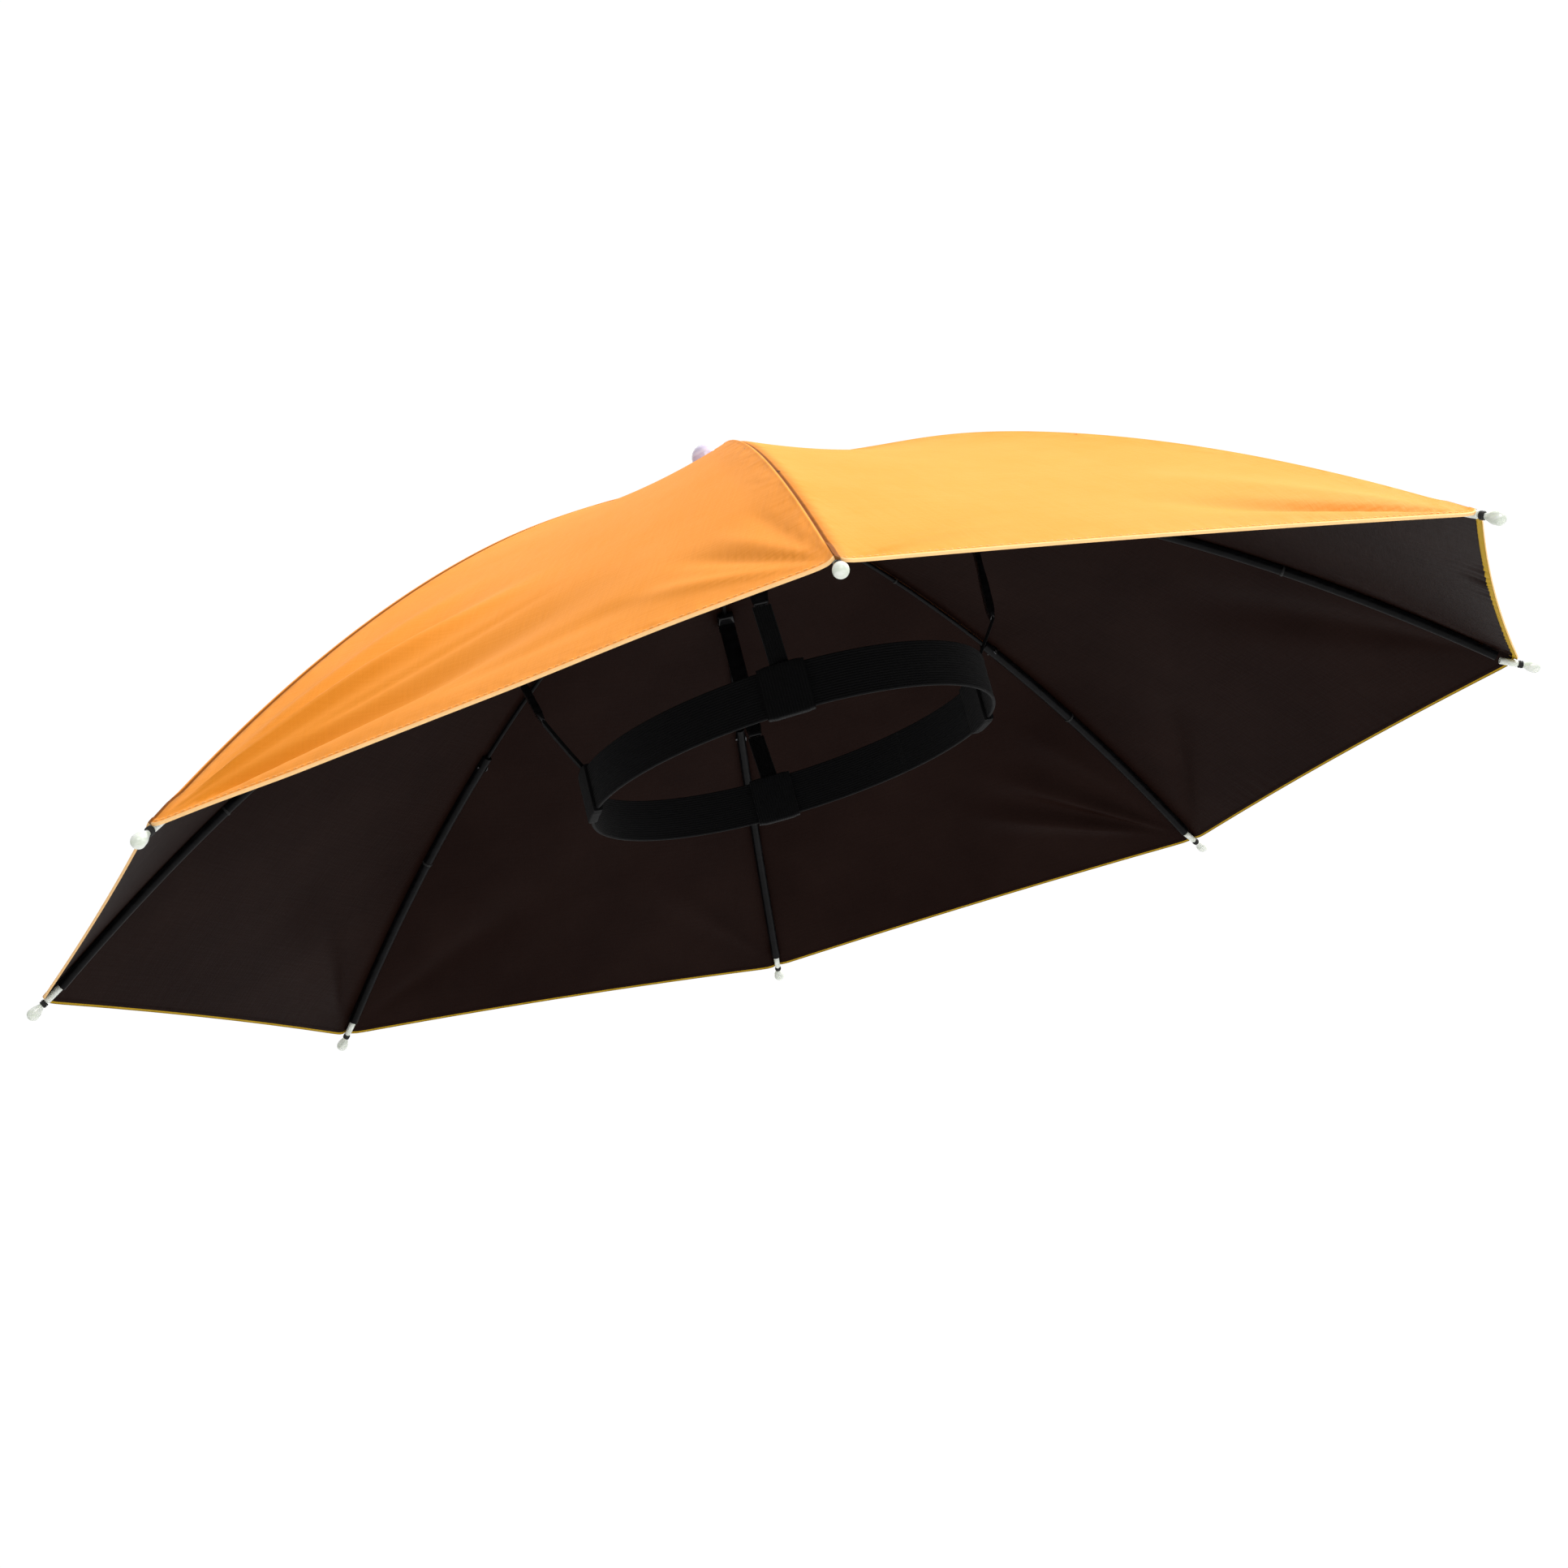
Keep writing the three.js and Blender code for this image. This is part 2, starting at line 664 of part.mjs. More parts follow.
/** A rectangle across a leg: its middle, how thick it is towards the axis and how wide along the band. */
function legRing(middle, angle, thick, wide) {
  const out = outward(angle).multiplyScalar(thick / 2);
  const side = across(angle).multiplyScalar(wide / 2);
  return [
    middle.clone().sub(out).sub(side),
    middle.clone().add(out).sub(side),
    middle.clone().add(out).add(side),
    middle.clone().sub(out).add(side),
  ];
}

/** The stiff strip with the clip that straddles its rib from below. */
function stayGeometry(row) {
  const { angle, seat, stayEnd } = legLine(row);
  const floor = innerRib.radius + clearance + leg.clipFloor;
  const tall = floor + leg.clipLip;
  const clip = new THREE.BoxGeometry(leg.clipLength, leg.width, tall);
  clip.translate(0, 0, tall / 2 - floor);
  const frame = new THREE.Matrix4().makeBasis(seat.tangent, seat.side, seat.normal).setPosition(seat.middle);
  clip.applyMatrix4(frame);
  const room = innerRib.radius + clearance;
  const slot = new THREE.BoxGeometry(2 * leg.clipLength, 2 * room, 2 * floor);
  slot.translate(0, 0, floor - room);
  slot.applyMatrix4(frame);
  const top = seat.middle.clone().addScaledVector(seat.normal, -(room + leg.clipFloor / 2));
  const rings = staySections.map(({ down, thick, wide }) => {
    return legRing(top.clone().lerp(stayEnd, down), angle, thick * leg.stayThickness, wide * leg.width);
  });
  const strip = toSolid(loft(rings.reverse(), [[0, 1, 2], [0, 2, 3]]));
  return toGeometry(strip.add(toSolid(clip)).subtract(toSolid(slot)));
}

/** The woven strap from the stay's end down to the sleeve. */
function strapGeometry(row) {
  const { angle, stayEnd, strapEnd } = legLine(row);
  const top = stayEnd.clone().addScaledVector(up, -clearance);
  const rings = [strapEnd, top].map((middle) => legRing(middle, angle, leg.strapThickness, leg.width));
  return loft(rings, [[0, 1, 2], [0, 2, 3]]);
}

const hat = new THREE.Group();

/** Adds a named piece with its own material, and gives it back. */
function addPiece(name, geometry, finish, parent = hat) {
  const mesh = new THREE.Mesh(geometry, new THREE.MeshStandardMaterial(finish));
  mesh.name = name;
  parent.add(mesh);
  return mesh;
}

/** A group at a rib's end, with Z along the tip's axis and its origin in the ball's middle. */
function tipPlace(number) {
  const { point, side, normal } = seamFrame(number, 1);
  const ball = point.addScaledVector(normal, -tip.sink);
  const axis = ball.clone().sub(ribFrame(number, channelEnd(number)).middle).normalize();
  const place = new THREE.Group();
  place.position.copy(ball);
  place.quaternion.setFromRotationMatrix(new THREE.Matrix4().makeBasis(side, axis.clone().cross(side), axis));
  hat.add(place);
  return place;
}

for (let number = 1; number <= canopy.ribs; number += 1) {
  addPiece(`panel_${number}`, panelGeometry(number), finishes.clothOutside);
  addPiece(`rib_inner_${number}`, innerRibGeometry(number), finishes.paintedSteel);
  addPiece(`rib_outer_${number}`, outerRibGeometry(number), finishes.paintedSteel);
  addPiece(`tip_${number}`, tipGeometry(), finishes.whitePlastic, tipPlace(number));
}

addPiece("hub", hubGeometry(), finishes.blackPlastic);
addPiece("finial", finialGeometry(), finishes.palePlastic);
addPiece("headband", headbandGeometry(), finishes.blackWebbing);

for (const row of legs) {
  addPiece(`stay_${row.rib}`, stayGeometry(row), finishes.blackPlastic);
  addPiece(`strap_${row.rib}`, strapGeometry(row), finishes.blackWebbing);
  addPiece(`sleeve_${row.rib}`, sleeveGeometry(row.rib), finishes.blackWebbing);
}

export default hat;
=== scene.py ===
"""Looks of an umbrella hat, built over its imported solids.

The cloth gores, ribs, tips, hub, cap, stays and headband each have a class that holds their sizes in
metres and builds their pieces in the row frame.
"""

from __future__ import annotations

import logging
import math
from collections.abc import Callable, Iterable, Sequence
from dataclasses import dataclass
from enum import Enum

import bmesh
import bpy
import numpy as np
from mathutils import Euler, Matrix, Vector


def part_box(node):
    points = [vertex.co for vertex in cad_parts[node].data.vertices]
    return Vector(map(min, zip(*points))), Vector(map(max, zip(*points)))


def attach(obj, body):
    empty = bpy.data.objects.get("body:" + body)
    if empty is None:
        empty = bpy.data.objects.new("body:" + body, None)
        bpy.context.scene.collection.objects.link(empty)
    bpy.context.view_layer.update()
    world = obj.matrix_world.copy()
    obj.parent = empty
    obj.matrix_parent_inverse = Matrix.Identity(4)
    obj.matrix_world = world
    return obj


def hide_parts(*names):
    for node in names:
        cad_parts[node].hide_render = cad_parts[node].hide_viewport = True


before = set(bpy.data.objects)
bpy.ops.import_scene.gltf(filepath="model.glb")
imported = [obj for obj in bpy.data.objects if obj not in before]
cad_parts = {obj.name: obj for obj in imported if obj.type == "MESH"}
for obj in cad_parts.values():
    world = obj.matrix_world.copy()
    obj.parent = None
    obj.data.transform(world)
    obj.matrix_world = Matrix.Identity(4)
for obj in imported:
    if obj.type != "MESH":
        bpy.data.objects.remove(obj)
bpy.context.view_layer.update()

log = logging.getLogger("umbrella_hat")
Colour = tuple[float, float, float]
Node = bpy.types.Node
Socket = bpy.types.NodeSocket
Material = bpy.types.Material
Piece = bpy.types.Object
Rows = np.ndarray
Line = tuple[Rows, Rows, Rows, Rows]
Inputs = dict[str | int, object]
MM = 0.001


class Slot(Enum):
    """The record's material slots."""

    CLOTH = "canopy_cloth"
    STEEL = "rib_steel"
    TIP = "tip_plastic"
    FINIAL = "finial_plastic"
    HUB = "hub_plastic"
    STAY = "stay_plastic"
    WEBBING = "black_webbing"


class RidgeRun(Enum):
    """Which way the ridges of a webbing run over its flat map."""

    ALONG = 1
    ACROSS = 0


# Node trees


class Tree:
    """A node tree with short ways to add and join its nodes."""

    def __init__(self, tree: bpy.types.NodeTree) -> None:
        """Keeps the tree and empties it."""
        self.tree = tree
        tree.nodes.clear()

    def add(self, kind: str, inputs: Inputs | None = None, **settings: object) -> Node:
        """Adds a node.

        Args:
            kind: Blender's name of the node.
            inputs: a socket, a number, a vector or a colour for each named input.
            settings: properties of the node to set.

        Returns:
            The new node.
        """
        node = self.tree.nodes.new(kind)
        for key, value in settings.items():
            setattr(node, key, value)
        self.fill(node, inputs or {})
        return node

    def fill(self, node: Node, inputs: Inputs) -> None:
        """Joins a node's inputs to sockets, or sets their own values.

        Args:
            node: the node.
            inputs: what each input gets, by its name or number.
        """
        for key, value in inputs.items():
            socket = node.inputs[key]
            if isinstance(value, bpy.types.NodeSocket):
                self.tree.links.new(value, socket)
            elif isinstance(value, tuple) and len(value) == 3 and socket.type == "RGBA":
                socket.default_value = (*value, 1.0)
            else:
                socket.default_value = value

    def math(self, operation: str, *values: object, clamp: bool = False) -> Socket:
        """A math node's value.

        Args:
            operation: Blender's name of the operation.
            values: its numbers or sockets.
            clamp: whether the value is kept from 0 to 1.

        Returns:
            The node's output.
        """
        inputs = dict(enumerate(values))
        return self.add("ShaderNodeMath", inputs, operation=operation, use_clamp=clamp).outputs[0]

    def times(self, first: object, second: object) -> Socket:
        """The product of two numbers or sockets."""
        return self.math("MULTIPLY", first, second)

    def wave(self, value: object, turns: object) -> Socket:
        """The sine of a value times a number of radians."""
        return self.math("SINE", self.times(value, turns))

    def fade(self, value: object, start: float, end: float) -> Socket:
        """A smooth mask that is 1 up to start and 0 from end.

        Args:
            value: the number or socket that is followed.
            start: where the mask starts to fade.
            end: where it has faded.

        Returns:
            The mask.
        """
        limits = {"Value": value, "From Min": start, "From Max": end, "To Min": 1.0, "To Max": 0.0}
        node = self.add("ShaderNodeMapRange", limits, interpolation_type="SMOOTHSTEP", clamp=True)
        return node.outputs["Result"]

    def blend(self, share: object, first: object, second: object) -> Socket:
        """Two colours mixed by the share of the second."""
        inputs = {0: share, 6: first, 7: second}
        return self.add("ShaderNodeMix", inputs, data_type="RGBA", clamp_factor=True).outputs[2]

    def noise(self, vector: object, scale: object, detail: float, roughness: float = 0.5) -> Socket:
        """Noise from 0 to 1.

        Args:
            vector: the place.
            scale: how fine it is, in patches for each metre.
            detail: layers of finer noise.
            roughness: strength of those layers.

        Returns:
            The noise.
        """
        inputs = {"Vector": vector, "Scale": scale, "Detail": detail, "Roughness": roughness}
        return self.add("ShaderNodeTexNoise", inputs).outputs["Fac"]

    def map_of(self, name: str) -> Socket:
        """A piece's own flat map, in metres."""
        return self.add("ShaderNodeUVMap", uv_map=name).outputs["UV"]

    def attribute(self, name: str) -> Socket:
        """A number that a piece holds at each vertex."""
        return self.add("ShaderNodeAttribute", attribute_name=name).outputs["Fac"]

    def place(self, kind: str = "Object") -> Socket:
        """Blender's coordinates of a kind."""
        return self.add("ShaderNodeTexCoord").outputs[kind]

    def scaled(self, vector: object, scale: Sequence[float]) -> Socket:
        """A vector scaled along each axis."""
        return self.add("ShaderNodeMapping", {"Vector": vector, "Scale": tuple(scale)}).outputs["Vector"]

    def split(self, vector: object) -> Sequence[Socket]:
        """The three numbers of a vector."""
        return self.add("ShaderNodeSeparateXYZ", {0: vector}).outputs

    def group(self, made: bpy.types.NodeTree, **inputs: object) -> Sequence[Socket]:
        """The outputs of a shared effect with inputs by name."""
        return self.add("ShaderNodeGroup", inputs, node_tree=made).outputs

    def bump(self, height: object, distance: float, after: object = None) -> Socket:
        """A normal bent by a height.

        Args:
            height: the relief, from 0 to 1.
            distance: depth of the relief in metres.
            after: normal of another bump that comes first.

        Returns:
            The bent normal.
        """
        inputs = {"Strength": 1.0, "Distance": distance, "Height": height}
        if after is not None:
            inputs["Normal"] = after
        return self.add("ShaderNodeBump", inputs).outputs["Normal"]


class Group(Tree):
    """A shared effect while it is built."""

    def __init__(self, name: str, **inputs: str) -> None:
        """Starts the group, with each input's kind by its name."""
        self.made = bpy.data.node_groups.new(name, "ShaderNodeTree")
        super().__init__(self.made)
        for label, kind in inputs.items():
            self.made.interface.new_socket(label, in_out="INPUT", socket_type=f"NodeSocket{kind}")
        self.given = self.add("NodeGroupInput").outputs

    def close(self, **outputs: Socket) -> bpy.types.NodeTree:
        """Ends the group.

        Args:
            outputs: the numbers that it gives, by name.

        Returns:
            The group.
        """
        for label in outputs:
            self.made.interface.new_socket(label, in_out="OUTPUT", socket_type="NodeSocketFloat")
        self.add("NodeGroupOutput", outputs)
        return self.made


class Shader(Tree):
    """A material's tree with a Principled shader joined to its output."""

    def __init__(self, name: str) -> None:
        """Starts the material of that name."""
        self.made = bpy.data.materials.new(name)
        self.made.use_nodes = True
        super().__init__(self.made.node_tree)
        self.shader = self.add("ShaderNodeBsdfPrincipled")
        self.add("ShaderNodeOutputMaterial", {"Surface": self.shader.outputs["BSDF"]})

    def close(self, **inputs: object) -> Material:
        """Ends the material.

        Args:
            inputs: the shader's inputs by name, with _ for a space.

        Returns:
            The material.
        """
        self.fill(self.shader, {key.replace("_", " "): value for key, value in inputs.items()})
        return self.made


class Effects:
    """The shared effects: weave, slubs, ridges, mottling and fine grain."""

    def __init__(self) -> None:
        """Builds each group once."""
        self.weave = self._weave()
        self.slubs = self._slubs()
        self.ridges = self._ridges()
        self.mottle = self._mottle()
        self.grain = self._grain()

    @staticmethod
    def _weave() -> bpy.types.NodeTree:
        """Threads that pass over and under each other.

        Returns:
            The group, with a pitch in metres.
        """
        tree = Group("plain weave", Vector="Vector", Pitch="Float")
        turns = tree.math("DIVIDE", 2 * math.pi, tree.given["Pitch"])
        x, y, _ = tree.split(tree.given["Vector"])
        both = tree.times(tree.wave(x, turns), tree.wave(y, turns))
        return tree.close(Height=tree.math("MULTIPLY_ADD", both, 0.5, 0.5))

    @staticmethod
    def _slubs() -> bpy.types.NodeTree:
        """Thicker stretches of single threads, along both directions of the cloth.

        Returns:
            The group, with a length in metres.
        """
        tree = Group("slubs", Vector="Vector", Length="Float")
        each = tree.math("DIVIDE", 1.0, tree.given["Length"])
        thin = 14.0
        masks = []
        for stretch in ((thin, 1.0, 1.0), (1.0, thin, 1.0)):
            inputs = {0: tree.scaled(tree.given["Vector"], stretch), "Scale": each}
            sized = tree.add("ShaderNodeVectorMath", inputs, operation="SCALE").outputs[0]
            masks.append(tree.noise(sized, 1.0, 2.0))
        return tree.close(Mask=tree.times(tree.math("ADD", *masks), 0.5))

    @staticmethod
    def _ridges() -> bpy.types.NodeTree:
        """Rounded ridges side by side across a distance, with fine threads on them.

        Returns:
            The group, with a pitch in metres.
        """
        tree = Group("woven ridges", Across="Float", Along="Float", Pitch="Float")
        threads_each = 3.1
        half_turns = tree.math("DIVIDE", math.pi, tree.given["Pitch"])
        ridge = tree.math("ABSOLUTE", tree.wave(tree.given["Across"], half_turns))
        fine = tree.times(half_turns, threads_each)
        both = tree.times(tree.wave(tree.given["Along"], fine), tree.wave(tree.given["Across"], fine))
        return tree.close(Height=ridge, Threads=tree.math("MULTIPLY_ADD", both, 0.5, 0.5))

    @staticmethod
    def _mottle() -> bpy.types.NodeTree:
        """Soft uneven patches.

        Returns:
            The group, with a size in metres.
        """
        tree = Group("mottling", Vector="Vector", Size="Float")
        patches = tree.noise(tree.given["Vector"], tree.math("DIVIDE", 1.0, tree.given["Size"]), 3.0, 0.55)
        limits = {"Value": patches, "From Min": 0.32, "From Max": 0.68}
        return tree.close(Mask=tree.add("ShaderNodeMapRange", limits, clamp=True).outputs["Result"])

    @staticmethod
    def _grain() -> bpy.types.NodeTree:
        """Fine relief of a moulded or painted surface, with faint handling marks.

        Returns:
            The group, with a size in metres.
        """
        tree = Group("fine grain", Vector="Vector", Size="Float")
        marks_scale = 0.12
        each = tree.math("DIVIDE", 1.0, tree.given["Size"])
        marks = tree.scaled(tree.given["Vector"], (1.0, 1.0, 4.0))
        return tree.close(
            Height=tree.noise(tree.given["Vector"], each, 2.0),
            Marks=tree.noise(marks, tree.times(each, marks_scale), 4.0),
        )


EFFECTS = Effects()


# Finishes


@dataclass(frozen=True)
class CanopyCloth:
    """Orange side of the gores, with its turned hem and its sewn seams."""

    colour: Colour = (0.86, 0.313, 0.052)
    deep: Colour = (0.78, 0.255, 0.018)
    # Painted highlight: the cream laid along the hem's rounded edge.
    hem: Colour = (1.0, 0.72, 0.36)
    # Painted shade: the dark brown laid in and beside the seam grooves.
    groove: Colour = (0.15, 0.036, 0.0)
    # Painted shade: the colour that folds facing down are darkened towards.
    shaded: Colour = (0.60, 0.185, 0.003)
    sheen_tint: Colour = (1.0, 0.82, 0.5)
    roughness: float = 0.54
    weave: float = 0.5 * MM
    patch_size: float = 45 * MM
    slub_length: float = 18 * MM
    # Where the painted hem highlight starts and ends fading, up from the hem's edge.
    hem_highlight_start: float = 0.3 * MM
    hem_highlight_end: float = 1.0 * MM
    # Where the painted seam shade fades, out from the first and the second seam.
    soft_seam_shade: tuple[float, float] = (1.5 * MM, 6 * MM)
    first_seam_shade: tuple[float, float] = (1.4 * MM, 2.5 * MM)
    second_seam_shade: tuple[float, float] = (0.1 * MM, 0.4 * MM)
    pucker_reach: float = 16 * MM
    puckers_per_metre: float = 105.0

    def material(self) -> Material:
        """The material, which reads the maps flat and seams and the attribute painted_fold_shade, with
        painted shade on folds that face down, a painted highlight along the hem and painted shade along the
        seams.

        Returns:
            The material.
        """
        tree = Shader("canopy cloth outside")
        flat = tree.map_of("flat")
        up_slope = tree.split(flat)[1]
        first, second, _ = tree.split(tree.map_of("seams"))
        mottle = tree.group(EFFECTS.mottle, Vector=flat, Size=self.patch_size)["Mask"]
        slubs = tree.group(EFFECTS.slubs, Vector=flat, Length=self.slub_length)["Mask"]
        weave = tree.group(EFFECTS.weave, Vector=flat, Pitch=self.weave)["Height"]
        base = tree.blend(tree.times(mottle, 0.35), self.colour, self.deep)
        base = tree.blend(tree.times(tree.math("SUBTRACT", slubs, 0.45, clamp=True), 0.9), base, self.deep)
        # Painted shade: folds that face down are darkened towards the shaded colour.
        base = tree.blend(tree.times(tree.attribute("painted_fold_shade"), 0.6), base, self.shaded)
        # Painted highlight: a cream band along the hem's edge.
        base = tree.blend(tree.times(tree.fade(up_slope, self.hem_highlight_start, self.hem_highlight_end), 0.7), base, self.hem)
        # Painted shade: a soft dark band beside the first seam and a dark line in both seam grooves.
        soft = tree.times(tree.fade(first, *self.soft_seam_shade), 0.3)
        line = tree.math("MAXIMUM", tree.fade(first, *self.first_seam_shade), tree.fade(second, *self.second_seam_shade))
        base = tree.blend(tree.math("MAXIMUM", soft, tree.times(line, 0.9)), base, self.groove)
        nearest = tree.math("MINIMUM", tree.math("MINIMUM", first, second), up_slope)
        per_metre = self.puckers_per_metre
        pucker = tree.noise(tree.scaled(flat, (per_metre, per_metre, 1.0)), 1.0, 1.0)
        normal = tree.bump(tree.times(pucker, tree.fade(nearest, 0.0, self.pucker_reach)), 1.0 * MM)
        normal = tree.bump(slubs, 0.16 * MM, normal)
        return tree.close(
            Base_Color=base,
            Roughness=tree.math("MULTIPLY_ADD", slubs, 0.16, self.roughness),
            Sheen_Weight=0.03,
            Sheen_Roughness=0.35,
            Sheen_Tint=self.sheen_tint,
            Specular_IOR_Level=0.06,
            Normal=tree.bump(weave, 0.03 * MM, normal),
        )


@dataclass(frozen=True)
class CanopyLining:
    """Black coated inner side of the gores, with the orange edge of the hem turned in."""

    colour: Colour = (0.0086, 0.0034, 0.0025)
    worn: Colour = (0.0145, 0.0068, 0.0052)
    edge: Colour = (0.50, 0.31, 0.02)
    roughness: float = 0.32
    weave: float = 0.5 * MM
    patch_size: float = 70 * MM
    slub_length: float = 20 * MM

    def material(self) -> Material:
        """The material, which reads the map flat and the attribute turned_in.

        Returns:
            The material.
        """
        tree = Shader("canopy cloth inside")
        flat = tree.map_of("flat")
        mottle = tree.group(EFFECTS.mottle, Vector=flat, Size=self.patch_size)["Mask"]
        slubs = tree.group(EFFECTS.slubs, Vector=flat, Length=self.slub_length)["Mask"]
        weave = tree.group(EFFECTS.weave, Vector=flat, Pitch=self.weave)["Height"]
        past = tree.math("SUBTRACT", tree.split(flat)[1], tree.attribute("turned_in"))
        base = tree.blend(tree.times(mottle, 0.7), self.colour, self.worn)
        return tree.close(
            Base_Color=tree.blend(tree.fade(past, -0.1 * MM, 0.2 * MM), base, self.edge),
            Roughness=tree.math("MULTIPLY_ADD", slubs, 0.2, self.roughness),
            Specular_IOR_Level=0.016,
            Normal=tree.bump(weave, 0.03 * MM, tree.bump(slubs, 0.2 * MM)),
        )


@dataclass(frozen=True)
class Moulded:
    """A plastic or painted surface with fine grain and faint handling marks."""

    name: str
    colour: Colour
    marked: Colour
    roughness: float
    relief: float
    grain: float = 0.9 * MM
    coat: float = 0.0
    metallic: float = 0.0
    glow: float = 0.0
    specular: float = 0.5

    def material(self) -> Material:
        """The material, which reads object coordinates.

        Returns:
            The material.
        """
        tree = Shader(self.name)
        grain = tree.group(EFFECTS.grain, Vector=tree.place(), Size=self.grain)
        return tree.close(
            Base_Color=tree.blend(tree.fade(grain["Marks"], 0.42, 0.62), self.marked, self.colour),
            Roughness=tree.math("MULTIPLY_ADD", grain["Marks"], 0.24, self.roughness - 0.12),
            Normal=tree.bump(grain["Height"], self.relief),
            Metallic=self.metallic,
            Coat_Weight=self.coat,
            Coat_Roughness=0.08,
            Subsurface_Weight=self.glow,
            Subsurface_Radius=(4 * MM, 4 * MM, 3.6 * MM),
            Subsurface_Scale=1.0,
            Specular_IOR_Level=self.specular,
        )


@dataclass(frozen=True)
class Webbing:
    """Black woven elastic or tape with ridges."""

    name: str
    run: RidgeRun
    pitch: float
    colour: Colour = (0.0018, 0.0018, 0.002)
    # Painted highlight colour laid on the ridge tops.
    ridge_highlight: Colour = (0.0056, 0.0056, 0.006)
    roughness: float = 0.76
    patch_size: float = 6 * MM

    def material(self) -> Material:
        """The material, which reads the map flat.

        Returns:
            The material.
        """
        tree = Shader(self.name)
        flat = tree.map_of("flat")
        along, across, _ = tree.split(flat)
        if self.run is RidgeRun.ACROSS:
            along, across = across, along
        ridges = tree.group(EFFECTS.ridges, Across=across, Along=along, Pitch=self.pitch)
        mottle = tree.group(EFFECTS.mottle, Vector=flat, Size=self.patch_size)["Mask"]
        # Painted highlight: ridge tops are lightened towards the ridge highlight colour.
        lit = tree.times(ridges["Height"], tree.math("MULTIPLY_ADD", mottle, 0.5, 0.5))
        normal = tree.bump(ridges["Height"], 0.22 * MM)
        return tree.close(
            Base_Color=tree.blend(lit, self.colour, self.ridge_highlight),
            Roughness=tree.math("MULTIPLY_ADD", mottle, 0.12, self.roughness),
            Sheen_Weight=0.03,
            Sheen_Roughness=0.5,
            Specular_IOR_Level=0.08,
            Normal=tree.bump(ridges["Threads"], 0.08 * MM, normal),
        )


@dataclass(frozen=True)
class Thread:
    """Twisted sewing thread."""

    name: str
    colour: Colour
    shade: Colour

    def material(self) -> Material:
        """The material, which reads object coordinates.

        Returns:
            The material.
        """
        tree = Shader(self.name)
        twist = tree.group(EFFECTS.grain, Vector=tree.place(), Size=0.3 * MM)
        return tree.close(
            Base_Color=tree.blend(twist["Height"], self.shade, self.colour),
            Roughness=tree.math("MULTIPLY_ADD", twist["Marks"], 0.2, 0.6),
            Sheen_Weight=0.04,
            Normal=tree.bump(twist["Height"], 0.06 * MM),
        )


class Finishes:
    """All finishes as materials, each made once."""

    def __init__(self) -> None:
        """Makes the materials."""
        steel = Moulded("black painted steel", (0.0018, 0.0018, 0.002), (0.0035, 0.0035, 0.004), 0.36,
                        0.02 * MM, specular=0.07)
        rivet = Moulded("dark rivet steel", (0.10, 0.10, 0.105), (0.06, 0.06, 0.06), 0.36,
                        0.01 * MM, metallic=1.0)
        tip = Moulded("white tip plastic", (0.74, 0.77, 0.71), (0.62, 0.67, 0.58), 0.2, 0.01 * MM,
                      coat=0.4, glow=0.3)
        finial = Moulded("lavender cap plastic", (0.60, 0.53, 0.70), (0.70, 0.65, 0.78), 0.2, 0.01 * MM,
                         coat=0.4, glow=0.3)
        hub = Moulded("black hub plastic", (0.006, 0.006, 0.006), (0.012, 0.012, 0.012), 0.5, 0.04 * MM,
                      specular=0.2)
        stay = Moulded("glossy stay plastic", (0.002, 0.002, 0.0022), (0.004, 0.004, 0.0045), 0.2, 0.02 * MM,
                       specular=0.2)
        self.cloth = CanopyCloth().material()
        self.lining = CanopyLining().material()
        self.steel = steel.material()
        self.bare_steel = rivet.material()
        self.tip = tip.material()
        self.finial = finial.material()
        self.hub = hub.material()
        self.stay = stay.material()
        self.band = Webbing("ribbed elastic", RidgeRun.ALONG, 1.1 * MM).material()
        self.tape = Webbing("woven sleeve tape", RidgeRun.ACROSS, 1.2 * MM).material()
        self.strap = Webbing("strap tape", RidgeRun.ALONG, 1.0 * MM).material()
        self.black_thread = Thread("black thread", (0.005, 0.005, 0.005), (0.002, 0.002, 0.002)).material()
        self.orange_thread = Thread("orange thread", (0.98, 0.60, 0.22), (0.80, 0.36, 0.08)).material()


# Modelling by hand


def deselect() -> None:
    """Leaves nothing selected."""
    if bpy.context.object is not None and bpy.context.object.mode != "OBJECT":
        bpy.ops.object.mode_set(mode="OBJECT")
    bpy.ops.object.select_all(action="DESELECT")


def take(*pieces: Piece) -> None:
    """Selects pieces alone and makes the first active."""
    deselect()
    for piece in pieces:
        piece.select_set(True)
    bpy.context.view_layer.objects.active = pieces[0]


def new_shape(kind: str, name: str, **settings: object) -> Piece:
    """Adds one of Blender's basic shapes, with its place in its mesh.

    Args:
        kind: Blender's name of the shape.
        name: the piece's name.
        settings: the shape's sizes and place.

    Returns:
        The new piece.
    """
    deselect()
    getattr(bpy.ops.mesh, f"primitive_{kind}_add")(**settings)
    piece = bpy.context.object
    piece.name = name
    settle(piece)
    return piece


def start_editing(piece: Piece, kind: str = "VERT") -> None:
    """Goes into edit mode on a piece with nothing selected."""
    take(piece)
    bpy.ops.object.mode_set(mode="EDIT")
    bpy.ops.mesh.select_mode(type=kind)
    bpy.ops.mesh.select_all(action="DESELECT")


def select_all() -> None:
    """Selects all of the mesh in edit mode."""
    bpy.ops.mesh.select_all(action="SELECT")


def stop_editing() -> None:
    """Goes back to object mode."""
    bpy.ops.object.mode_set(mode="OBJECT")


def turn_outwards() -> None:
    """Turns the faces of a closed mesh outwards, and ends its editing."""
    select_all()
    bpy.ops.mesh.normals_make_consistent(inside=False)
    stop_editing()


